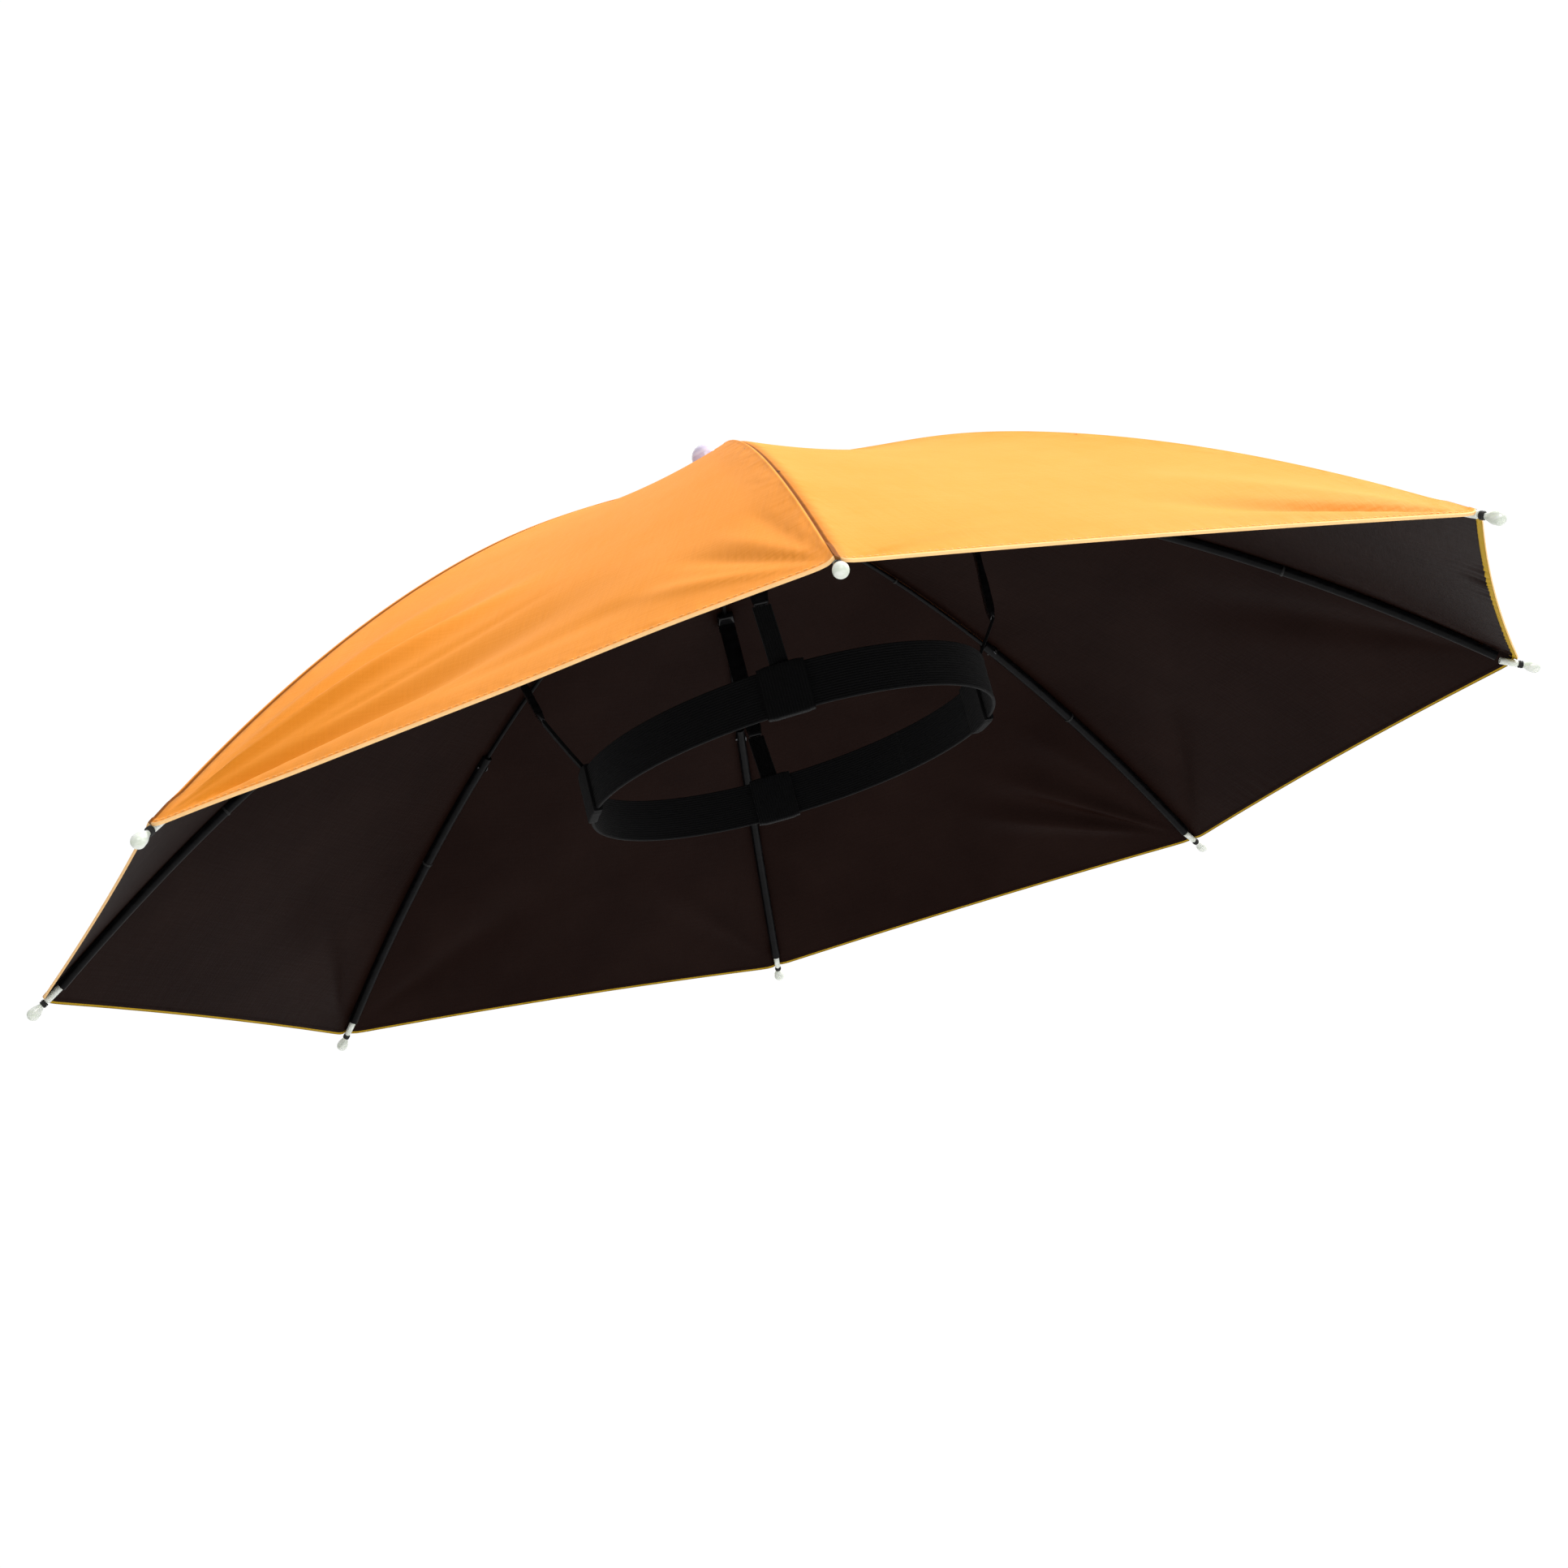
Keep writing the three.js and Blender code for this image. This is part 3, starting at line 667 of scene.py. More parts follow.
def pick_points(piece: Piece, chosen: Callable[[Vector], bool]) -> None:
    """Selects vertices in edit mode by their place.

    Args:
        piece: the piece in edit mode.
        chosen: says of a place whether it is selected.
    """
    shape = bmesh.from_edit_mesh(piece.data)
    for vertex in shape.verts:
        vertex.select = chosen(vertex.co)
    shape.select_flush(True)
    bmesh.update_edit_mesh(piece.data)


def pick_faces(piece: Piece, chosen: Callable[[Vector], bool]) -> None:
    """Selects faces in edit mode by their normal.

    Args:
        piece: the piece in edit mode.
        chosen: says of a normal whether its face is selected.
    """
    shape = bmesh.from_edit_mesh(piece.data)
    shape.normal_update()
    for face in shape.faces:
        face.select = chosen(face.normal)
    shape.select_flush(True)
    bmesh.update_edit_mesh(piece.data)


def push(offset: Sequence[float]) -> None:
    """Extrudes what is selected by an offset."""
    bpy.ops.mesh.extrude_region_move(TRANSFORM_OT_translate={"value": tuple(offset)})


def draw_out(steps: int) -> None:
    """Extrudes a whole outline by 1 m along X in even steps, and ends its editing."""
    select_all()
    for _ in range(steps):
        push((1.0 / steps, 0, 0))
    turn_outwards()


def apply_modifier(piece: Piece, kind: str, **settings: object) -> None:
    """Adds a modifier and applies it.

    Args:
        piece: the piece to change.
        kind: Blender's name of the modifier.
        settings: the modifier's properties.
    """
    take(piece)
    modifier = piece.modifiers.new(kind.lower(), kind)
    for key, value in settings.items():
        setattr(modifier, key, value)
    bpy.ops.object.modifier_apply(modifier=modifier.name)


def bevel(piece: Piece, width: float, segments: int, over: float) -> None:
    """Rounds the edges that are sharper than an angle.

    Args:
        piece: the piece.
        width: width of the rounding.
        segments: steps across it.
        over: the angle in degrees.
    """
    limits = {"limit_method": "ANGLE", "angle_limit": math.radians(over)}
    apply_modifier(piece, "BEVEL", width=width, segments=segments, **limits)


def combine(piece: Piece, other: Piece, operation: str) -> None:
    """Joins another piece to a piece or cuts it out, and removes it.

    Args:
        piece: the piece that stays.
        other: the piece that is used up.
        operation: Blender's name of the boolean.
    """
    apply_modifier(piece, "BOOLEAN", object=other, operation=operation, solver="EXACT")
    remove_piece(other)


def join_pieces(pieces: Sequence[Piece], name: str) -> Piece:
    """Makes several pieces one.

    Args:
        pieces: the pieces.
        name: the new name.

    Returns:
        The piece.
    """
    take(*pieces)
    bpy.ops.object.join()
    piece = bpy.context.object
    piece.name = name
    return piece


def copy_piece(piece: Piece, name: str) -> Piece:
    """Copies a piece with its mesh.

    Args:
        piece: the piece.
        name: the copy's name.

    Returns:
        The copy.
    """
    made = piece.copy()
    made.data = piece.data.copy()
    made.name = name
    made.data.name = name
    bpy.context.scene.collection.objects.link(made)
    return made


def remove_piece(piece: Piece) -> None:
    """Takes a model that was only copied, or a guide, out of the scene."""
    bpy.data.objects.remove(piece, do_unlink=True)


def settle(piece: Piece, matrix: Matrix | None = None) -> None:
    """Puts a piece's place into its mesh, so that its object sits at the origin.

    Args:
        piece: the piece.
        matrix: where it goes, or None to keep its own place.
    """
    bpy.context.view_layer.update()
    piece.data.transform(piece.matrix_world if matrix is None else matrix)
    piece.matrix_world = Matrix.Identity(4)


def lathe(name: str, outline: Sequence[tuple[float, float]], steps: int) -> Piece:
    """Turns an outline round the Z axis.

    Args:
        name: the piece's name.
        outline: radius and height of each point, from one end to the other.
        steps: steps round the axis.

    Returns:
        The turned piece, closed where the outline starts and ends on the axis.
    """
    piece = new_shape("plane", name, size=MM)
    start_editing(piece)
    select_all()
    bpy.ops.mesh.merge(type="CENTER")
    select_all()
    bpy.ops.transform.translate(value=(outline[0][0], 0.0, outline[0][1]))
    for (radius, height), (next_radius, next_height) in zip(outline, outline[1:]):
        push((next_radius - radius, 0.0, next_height - height))
    select_all()
    bpy.ops.mesh.spin(steps=steps, angle=2 * math.pi, center=(0, 0, 0), axis=(0, 0, 1))
    select_all()
    bpy.ops.mesh.remove_doubles(threshold=1e-6)
    turn_outwards()
    return piece


def along_line(piece: Piece, points: Iterable[Sequence[float]]) -> None:
    """Bends a straight piece, which runs along X from 0, along a line of points.

    Args:
        piece: the piece to bend.
        points: the line, in the row frame.
    """
    places = [Vector(point) for point in points]
    guide = bpy.data.curves.new("guide", "CURVE")
    guide.dimensions = "3D"
    guide.twist_mode = "Z_UP"
    spline = guide.splines.new("POLY")
    spline.points.add(len(places) - 1)
    for point, place in zip(spline.points, places):
        point.co = (*place, 1.0)
    holder = bpy.data.objects.new("guide", guide)
    bpy.context.scene.collection.objects.link(holder)
    bpy.context.view_layer.update()
    apply_modifier(piece, "CURVE", object=holder, deform_axis="POS_X")
    remove_piece(holder)


def dress(
    piece: Piece,
    finishes: Sequence[Material],
    replaces: Sequence[str] = (),
    smooth_angle: float = 40.0,
) -> Piece:
    """Gives a piece its materials, smooth shading and body, and hides the nodes that it stands for.

    Args:
        piece: the piece, with its place in its mesh.
        finishes: materials in the order of the mesh's material indices.
        replaces: nodes of the solids that it stands for.
        smooth_angle: edges sharper than this stay sharp, in degrees.

    Returns:
        The same piece.
    """
    piece.data.materials.clear()
    for finish in finishes:
        piece.data.materials.append(finish)
    take(piece)
    bpy.ops.object.shade_smooth_by_angle(angle=math.radians(smooth_angle))
    deselect()
    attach(piece, "root")
    if replaces:
        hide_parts(*replaces)
    log.info("%s: %d faces", piece.name, len(piece.data.polygons))
    return piece


# Modelling by mesh code


def mesh_piece(name: str, points: Rows, faces: Sequence[Sequence[int]]) -> Piece:
    """A piece from points and faces.

    Args:
        name: the piece's name.
        points: places in the row frame, one row each.
        faces: indices of each face's corners.

    Returns:
        The new piece.
    """
    data = bpy.data.meshes.new(name)
    data.from_pydata([tuple(p) for p in points], [], [tuple(int(i) for i in f) for f in faces])
    data.update()
    piece = bpy.data.objects.new(name, data)
    bpy.context.scene.collection.objects.link(piece)
    return piece


def write_map(piece: Piece, name: str, values: Rows) -> None:
    """Writes a flat map from two numbers at each vertex.

    Args:
        piece: the piece.
        name: the map's name.
        values: one row of two numbers for each vertex.
    """
    layer = piece.data.uv_layers.new(name=name)
    corners = np.zeros(len(piece.data.loops), np.int32)
    piece.data.loops.foreach_get("vertex_index", corners)
    layer.data.foreach_set("uv", values[corners].astype(np.float32).ravel())


def write_attribute(piece: Piece, name: str, values: Rows) -> None:
    """Writes a number at each vertex.

    Args:
        piece: the piece.
        name: the attribute's name.
        values: the numbers.
    """
    layer = piece.data.attributes.new(name, "FLOAT", "POINT")
    layer.data.foreach_set("value", values.astype(np.float32))


def ring_faces(size: int, count: int, closed: bool = False, start: int = 0) -> list[tuple[int, ...]]:
    """Faces that join rings of points, with caps where the run is open.

    Args:
        size: points of each ring.
        count: number of rings.
        closed: whether the last ring joins the first.
        start: index of the first point.

    Returns:
        The faces.
    """
    faces = []
    for ring in range(count if closed else count - 1):
        here = start + ring * size
        there = start + (ring + 1) % count * size
        for k in range(size):
            n = (k + 1) % size
            faces.append((here + k, there + k, there + n, here + n))
    if not closed:
        last = start + (count - 1) * size
        faces.append(tuple(range(start, start + size)))
        faces.append(tuple(range(last, last + size))[::-1])
    return faces


def tube(name: str, rings: Sequence[Rows], maps: Sequence[Rows], closed: bool = False) -> Piece:
    """A piece through rings of points, with the map flat on it.

    Args:
        name: the piece's name.
        rings: the rings' points.
        maps: the map's two numbers at each point.
        closed: whether the last ring joins the first.

    Returns:
        The new piece.
    """
    piece = mesh_piece(name, np.vstack(rings), ring_faces(len(rings[0]), len(rings), closed))
    make_normals_agree(piece)
    write_map(piece, "flat", np.vstack(maps))
    return piece


def triangles(index: Rows) -> Rows:
    """Triangles of a grid, which face up where rows run inwards and columns anticlockwise.

    Args:
        index: the grid's vertex indices.

    Returns:
        One row for each triangle.
    """
    a, b, c, d = (part.ravel() for part in (index[:-1, :-1], index[:-1, 1:], index[1:, 1:], index[1:, :-1]))
    return np.vstack([np.column_stack([a, b, c]), np.column_stack([a, c, d])])


def make_normals_agree(piece: Piece) -> None:
    """Turns a closed piece's faces outwards."""
    start_editing(piece)
    turn_outwards()


def basis(x: Sequence[float], y: Sequence[float], z: Sequence[float], place: Sequence[float]) -> Matrix:
    """A matrix from three axes and a place."""
    rows = [[x[k], y[k], z[k], place[k]] for k in range(3)]
    return Matrix([*rows, [0, 0, 0, 1]])


def ease(value: Rows, low: float, high: float) -> Rows:
    """Smooth step from 0 at low to 1 at high."""
    t = np.clip((value - low) / (high - low), 0.0, 1.0)
    return t * t * (3 - 2 * t)


def bell(distance: Rows, width: float) -> Rows:
    """A bell curve that is 1 at no distance."""
    return np.exp(-((distance / width) ** 2))


# The canopy's form


@dataclass(frozen=True)
class RibTrim:
    """How one rib differs from the common curve."""

    turn: float
    lift: float
    bow: float
    dent: float = 0.0


@dataclass(frozen=True)
class GoreCut:
    """Sag and hollow of a gore as shares of the hem's width, and how far its hem reaches out and turns in."""

    sag: float
    hollow: float
    reach_out: float
    turned_in: float


@dataclass(frozen=True)
class CanopyForm:
    """The curves that the canopy, its ribs and its tips follow, as in the solids."""

    reach: float = 343 * MM
    rise: float = 171 * MM
    band_above_rim: float = 41 * MM
    lean: float = 0.32
    bend: float = 0.7
    rounding: float = 0.04
    crown_hole: float = 7 * MM
    corner_inset: float = 6.5 * MM
    rib_depth: float = 2.3 * MM
    rib_half_width: float = 2.3 * MM
    dent_place: float = 0.26
    dent_width: float = 0.11
    hem_starts: float = 0.4
    corner_power: int = 50
    trims: tuple[RibTrim, ...] = (
        RibTrim(0.5, 0.007, 0.004, 0.014),
        RibTrim(-0.54, -0.005, 0.0),
        RibTrim(0.9, -0.012, 0.004),
        RibTrim(0.0, 0.0, 0.0),
        RibTrim(0.37, 0.009, -0.004),
        RibTrim(-0.2, 0.013, 0.0),
        RibTrim(0.35, -0.022, -0.006, 0.004),
        RibTrim(-0.38, 0.008, 0.014),
    )
    cuts: tuple[GoreCut, ...] = (
        GoreCut(0.012, 0.010, 2.3 * MM, 2.6 * MM),
        GoreCut(0.014, 0.008, 1.6 * MM, 0.9 * MM),
        GoreCut(0.013, 0.006, 1.2 * MM, 0.9 * MM),
        GoreCut(0.014, 0.008, 2.0 * MM, 0.9 * MM),
        GoreCut(0.013, 0.006, 2.0 * MM, 0.9 * MM),
        GoreCut(0.015, 0.016, 1.5 * MM, 0.9 * MM),
        GoreCut(0.016, 0.013, 2.6 * MM, 0.5 * MM),
        GoreCut(0.023, 0.0115, 2.6 * MM, 0.5 * MM),
    )

    @property
    def count(self) -> int:
        """Number of ribs and gores."""
        return len(self.trims)

    @property
    def half_step(self) -> float:
        """Half the angle between two ribs."""
        return math.pi / self.count

    @property
    def cloth_reach(self) -> float:
        """Share of the reach at which the cloth ends."""
        return 1 - self.corner_inset / self.reach

    @property
    def hem_half(self) -> float:
        """Half the width of a gore's hem."""
        return self.half_width(self.cloth_reach)

    def half_width(self, share: Rows | float) -> Rows | float:
        """Half the width of a gore at a share of the reach."""
        return share * self.reach * math.sin(self.half_step)

    def trim(self, number: int) -> RibTrim:
        """The trim of a rib, counted round the canopy."""
        return self.trims[(number - 1) % self.count]

    def rib_angle(self, number: int) -> float:
        """Direction from the axis to a rib."""
        return -math.pi / 2 + (number - 1) * 2 * self.half_step + math.radians(self.trim(number).turn)

    def outward(self, number: int) -> Rows:
        """Unit vector from the axis to a rib."""
        angle = self.rib_angle(number)
        return np.array([math.cos(angle), math.sin(angle), 0.0])

    def sideways(self, number: int) -> Rows:
        """Unit vector across a rib, anticlockwise seen from above."""
        angle = self.rib_angle(number)
        return np.array([-math.sin(angle), math.cos(angle), 0.0])

    def fall(self, share: Rows) -> Rows:
        """Share of the rise that a seam has fallen.

        Args:
            share: shares of the reach.

        Returns:
            The shares of the rise, 1 at the reach's end.
        """
        ends = np.append(share, 1.0)
        drop = self.lean * (np.sqrt(ends * ends + self.rounding**2) - self.rounding) + self.bend * ends * ends
        return drop[:-1] / drop[-1]

    def seam_height(self, number: int, share: Rows) -> Rows:
        """Height of the cloth's outside along the seam over a rib.

        Args:
            number: the rib.
            share: shares of the reach.

        Returns:
            The heights.
        """
        trim = self.trim(number)
        own = trim.lift * share**2 + trim.bow * np.sin(math.pi * np.minimum(share, 1.0))
        own -= trim.dent * bell(share - self.dent_place, self.dent_width)
        return self.rise * (1 - self.fall(share) + own) - self.band_above_rim

    def seam_point(self, number: int, share: Rows) -> Rows:
        """Points of the seam over a rib.

        Args:
            number: the rib.
            share: shares of the reach.

        Returns:
            The points.
        """
        points = share[:, None] * self.reach * self.outward(number)
        points[:, 2] = self.seam_height(number, share)
        return points

    def seam_frame(self, number: int, share: Rows | float) -> Line:
        """Points, tangents, sideways directions and upward normals along a seam.

        Args:
            number: the rib under the seam.
            share: shares of the reach.

        Returns:
            Points, tangents, sideways directions and normals, one row for each share.
        """
        share = np.atleast_1d(share).astype(float)
        step = 0.001
        run = self.seam_point(number, share + step) - self.seam_point(number, share - step)
        tangent = run / np.linalg.norm(run, axis=1)[:, None]
        side = np.tile(self.sideways(number), (len(share), 1))
        return self.seam_point(number, share), tangent, side, np.cross(tangent, side)

    def gore_point(self, number: int, share: Rows, edge: Rows) -> Rows:
        """Points on a gore's outside without its folds.

        Args:
            number: the gore.
            share: shares of the reach along its seams.
            edge: places from -1 at the first seam to 1 at the second.

        Returns:
            One row for each place.
        """
        cut = self.cuts[number - 1]
        bowl = 1 - edge**2
        hem_width = 2 * self.hem_half
        toward_hem = ease(share, self.hem_starts * self.cloth_reach, self.cloth_reach) ** 2
        hem_shift = bowl * cut.hollow * hem_width - (1 - edge**self.corner_power) * cut.reach_out
        slid = share - toward_hem * hem_shift / self.reach
        first = self.seam_point(number, slid)
        second = self.seam_point(number + 1, slid)
        points = first + (second - first) * ((edge + 1) / 2)[:, None]
        along_slope = np.minimum(share / self.cloth_reach, 1.0)
        points[:, 2] -= cut.sag * hem_width * bowl * np.sin(math.pi * along_slope)
        return points

    def gore_normal(self, number: int, share: Rows, edge: Rows) -> Rows:
        """Outward normals of the unfolded gore.

        Args:
            number: the gore.
            share: shares of the reach along its seams.
            edge: places from -1 at the first seam to 1 at the second.

        Returns:
            One row for each place.
        """
        step = 0.004
        low = np.maximum(share - step, 0.01)
        radial = self.gore_point(number, share + step, edge) - self.gore_point(number, low, edge)
        across = self.gore_point(number, share, edge + step) - self.gore_point(number, share, edge - step)
        normal = np.cross(radial, across)
        return normal / np.linalg.norm(normal, axis=1)[:, None]

    def rib_frame(self, number: int, share: Rows | float) -> Line:
        """Middle line of a rib under its seam.

        Args:
            number: the rib.
            share: shares of the reach.

        Returns:
            Middles, tangents, sideways directions and normals, one row for each share.
        """
        point, tangent, side, normal = self.seam_frame(number, share)
        share = np.atleast_1d(share).astype(float)
        edge = 1 - self.rib_half_width / (self.half_width(share) * math.cos(self.half_step))
        before = (number + self.count - 2) % self.count + 1
        drops = [
            np.einsum("ij,ij->i", point - self.gore_point(gore, share, sign * edge), normal)
            for gore, sign in ((number, -1.0), (before, 1.0))
        ]
        depth = self.rib_depth + np.maximum(0.0, np.maximum(*drops))
        return point - normal * depth[:, None], tangent, side, normal

    def on_rib(self, number: int, share: float) -> Matrix:
        """A place on a rib, with X along it, Y sideways and Z towards the cloth."""
        middle, tangent, side, normal = (rows[0] for rows in self.rib_frame(number, share))
        return basis(tangent, side, normal, middle)


FORM = CanopyForm()
NUMBERS = range(1, FORM.count + 1)


# Cloth


class Corner(Enum):
    """The tip that a fold fans out from."""

    FIRST = 1.0
    SECOND = -1.0


@dataclass(frozen=True)
class Fold:
    """A fold that fans out from a tip: degrees from the hem, height in mm, and lengths from the tip in mm."""

    gore: int
    corner: Corner
    angle: float
    spread: float
    rise: float
    start: float
    full: float
    fading: float
    end: float


@dataclass
class Canopy:
    """The eight cloth gores with their folds, hems and stitches."""

    finishes: Finishes
    thickness: float = 0.25 * MM
    hem_thickness: float = 0.7 * MM
    hem_width: float = 2.3 * MM
    hem_edge: float = 0.5 * MM
    hem_lift: float = 0.22 * MM
    rim_radius: float = 0.4 * MM
    turned_down: float = 0.6 * MM
    lower_at_seam: float = 0.3 * MM
    lower_in_middle: float = 0.4 * MM
    roll: float = 0.14 * MM
    roll_end: float = 0.6 * MM
    tuck: float = 1.1 * MM
    over_sleeve: float = 0.5 * MM
    narrow_part: float = 12 * MM
    tip_part: tuple[float, float] = (10 * MM, 20 * MM)
    crown_sag: float = 2.0 * MM
    crown_place: float = 0.17
    crown_width: float = 0.08
    row_step: float = 2.4 * MM
    hem_rows: tuple[float, ...] = (0.0, 0.12, 0.3, 0.6, 1.1, 1.7, 2.2, 2.5, 2.9, 3.6)
    columns: int = 92
    margins: tuple[float, ...] = (0.0, 0.2, 0.4, 0.65, 0.95, 1.3, 1.8, 2.5, 3.5)
    relief: float = 2.0
    hem_ripple: tuple[float, ...] = (0.5, 0.12, 0.05, 0.05, 0.05, 0.08, 0.02, 0.03)
    ripple_length: float = 1.15 * MM
    ripple_sway: float = 8 * MM
    ripple_patch: float = 19 * MM
    ripple_fade: float = 13 * MM
    stitch_pitch: float = 2.7 * MM
    stitch_length: float = 1.9 * MM
    stitch_radius: float = 0.13 * MM
    stitch_height: float = 1.75 * MM
    stitch_sides: int = 6
    folds: tuple[Fold, ...] = (
        Fold(7, Corner.FIRST, 40, 3.4, 2.8, 3, 40, 90, 180),
        Fold(7, Corner.FIRST, 20.5, 6.5, -3.0, 3, 36, 90, 195),
        Fold(7, Corner.FIRST, 47.5, 2.6, -1.0, 15, 60, 95, 160),
        Fold(7, Corner.FIRST, 56, 3.2, 1.4, 20, 75, 110, 175),
        Fold(7, Corner.FIRST, 30, 1.6, -0.5, 50, 85, 120, 175),
        Fold(7, Corner.FIRST, 10, 3.0, -0.6, 90, 130, 165, 215),
        Fold(7, Corner.FIRST, 0, 6, -0.6, 10, 60, 130, 210),
        Fold(7, Corner.SECOND, 39.5, 3.5, -0.8, 4, 25, 45, 95),
        Fold(7, Corner.SECOND, 50, 4.0, 0.7, 4, 25, 45, 90),
        Fold(7, Corner.SECOND, 61, 3.0, -0.8, 4, 25, 45, 95),
        Fold(7, Corner.SECOND, 24, 4.0, 0.6, 4, 30, 50, 110),
        Fold(8, Corner.SECOND, 20, 5, -2.2, 2, 20, 50, 140),
        Fold(8, Corner.SECOND, 8, 4, 0.6, 4, 24, 70, 170),
        Fold(8, Corner.SECOND, 40, 8, 0.9, 6, 40, 70, 150),
        Fold(8, Corner.FIRST, 20, 5, 0.6, 4, 25, 45, 100),
        Fold(2, Corner.FIRST, 54, 7, 1.9, 6, 60, 100, 175),
        Fold(2, Corner.SECOND, 43, 6, 1.7, 6, 45, 80, 160),
        Fold(3, Corner.FIRST, 61, 4, -1.5, 30, 80, 100, 150),
        Fold(3, Corner.FIRST, 52, 4, 1.0, 10, 45, 75, 130),
        Fold(3, Corner.FIRST, 44, 4, -2.2, 10, 35, 65, 140),
        Fold(3, Corner.FIRST, 37, 3.5, 1.2, 10, 40, 70, 130),
        Fold(3, Corner.FIRST, 30, 4, -1.8, 20, 60, 85, 140),
        Fold(1, Corner.FIRST, 66, 5, -0.9, 4, 30, 60, 130),
        Fold(1, Corner.SECOND, 58, 6, -0.9, 4, 30, 60, 130),
        Fold(5, Corner.FIRST, 32, 8, -1.8, 10, 55, 90, 150),
        Fold(6, Corner.SECOND, 38, 8, 1.8, 10, 50, 90, 160),
        Fold(4, Corner.FIRST, 40, 6, -1.2, 6, 40, 80, 150),
        Fold(4, Corner.SECOND, 36, 7, 1.0, 6, 40, 80, 150),
    )

    def build(self) -> None:
        """Builds each gore with its stitches."""
        for number in NUMBERS:
            self._gore(number)

    def _slope(self) -> tuple[Rows, Rows]:
        """The way up a gore's slope.

        Returns:
            Shares of the reach from the hem to the crown, and the distances up the slope to them.
        """
        share = np.linspace(FORM.cloth_reach, FORM.crown_hole / FORM.reach, 2001)
        run = share * FORM.reach * math.cos(FORM.half_step)
        steps = np.hypot(np.diff(run), np.diff(FORM.fall(share) * FORM.rise))
        return share, np.concatenate([[0.0], np.cumsum(steps)])

    def _rows(self) -> tuple[Rows, Rows]:
        """The mesh's rows.

        Returns:
            Their distances up the slope, and their shares of the reach.
        """
        share, slope = self._slope()
        hem = np.array(self.hem_rows) * MM
        rest = np.linspace(hem[-1], slope[-1], int((slope[-1] - hem[-1]) / self.row_step))[1:]
        rows = np.concatenate([hem, rest])
        return rows, np.interp(rows, slope, share)

    def _columns(self, shares: Rows) -> Rows:
        """The mesh's columns.

        Args:
            shares: the rows' shares of the reach.

        Returns:
            Distances from the gore's middle line, closer together along both seams.
        """
        grid = []
        for half in FORM.half_width(shares):
            near = np.array(self.margins) * MM * min(1.0, half / self.narrow_part)
            inner = np.linspace(-half + near[-1], half - near[-1], self.columns)[1:-1]
            grid.append(np.concatenate([-half + near, inner, half - near[::-1]]))
        return np.array(grid)

    def fold_height(self, number: int, along: Rows, up_slope: Rows) -> Rows:
        """Height of a gore's folds.

        Args:
            number: the gore.
            along: distances from the gore's middle line.
            up_slope: distances up from the hem.

        Returns:
            The heights.
        """
        patches = 0.5 + 0.5 * np.sin(along / self.ripple_patch + 2.3 * number)
        waves = np.sin(along / self.ripple_length + 2.0 * np.sin(along / self.ripple_sway + number))
        fading = np.exp(-up_slope / self.ripple_fade) * ease(up_slope, 0.0, 3 * MM)
        height = self.hem_ripple[number - 1] * patches * waves * fading
        for fold in (row for row in self.folds if row.gore == number):
            from_tip = FORM.hem_half + fold.corner.value * along
            distance = np.hypot(from_tip, up_slope) / MM
            turn = np.degrees(np.arctan2(up_slope, from_tip)) - fold.angle
            grow = ease(distance, fold.start, fold.full) * (1 - ease(distance, fold.fading, fold.end))
            height += fold.rise * grow * np.exp(-np.abs(turn / fold.spread) ** 1.9)
        return self.relief * height * MM

    def _in_hem(self, up_slope: Rows) -> Rows:
        """1 on the turned hem and 0 above it."""
        return 1 - ease(up_slope, self.hem_width, self.hem_width + self.hem_edge)

    def surface(self, number: int, share: Rows, along: Rows, up_slope: Rows) -> Line:
        """The gore's outside with folds, seams and hem.

        Args:
            number: the gore.
            share: shares of the reach.
            along: distances from the gore's middle line.
            up_slope: distances up from the hem.

        Returns:
            Points, normals, and the distances to the first and the second seam.
        """
        half = FORM.half_width(share)
        edge = np.clip(along / half, -1.0, 1.0)
        first = half + along
        second = half - along
        bowl = 1 - edge**2
        lift = self.fold_height(number, along, up_slope) * (1 - edge**4)
        lift -= self.lower_at_seam + self.lower_in_middle * bowl
        lift -= self.crown_sag * bowl * bell(share - self.crown_place, self.crown_width)
        roll = self.roll * bell(second - 0.9 * MM, 0.8 * MM) - self.roll_end * bell(second, 0.4 * MM)
        seam = roll - self.tuck * bell(first, 2.2 * MM)
        sleeve = self.over_sleeve * (bell(first, 2.6 * MM) + bell(second, 2.6 * MM))
        near_tip = 1 - ease(up_slope, *self.tip_part)
        lift += (seam * (1 - near_tip) + sleeve * near_tip) * np.minimum(1.0, half / self.narrow_part)
        lift += self.hem_lift * self._in_hem(up_slope)
        inside = np.clip(self.rim_radius - up_slope, 0.0, self.rim_radius)
        lift -= self.rim_radius - np.sqrt(self.rim_radius**2 - inside**2)
        normals = FORM.gore_normal(number, share, edge)
        return FORM.gore_point(number, share, edge) + normals * lift[:, None], normals, first, second

    def _gore(self, number: int) -> None:
        """Builds one gore as a thin closed sheet with orange outside and black inside.

        Args:
            number: the gore.
        """
        rows, shares = self._rows()
        grid = self._columns(shares)
        along = grid.ravel()
        share = np.repeat(shares, grid.shape[1])
        up_slope = np.repeat(rows, grid.shape[1])
        outer, normals, first, second = self.surface(number, share, along, up_slope)
        thick = self.thickness + (self.hem_thickness - self.thickness) * self._in_hem(up_slope)
        thick += self.turned_down * bell(second, 0.5 * MM) * ease(up_slope, *self.tip_part)
        faces, kinds = self._faces(*grid.shape)
        piece = mesh_piece(f"gore_{number}", np.vstack([outer, outer - normals * thick[:, None]]), faces)
        write_map(piece, "flat", np.tile(np.column_stack([along, up_slope]), (2, 1)))
        write_map(piece, "seams", np.tile(np.column_stack([first, second]), (2, 1)))
        write_attribute(piece, "turned_in", np.full(2 * len(outer), FORM.cuts[number - 1].turned_in))
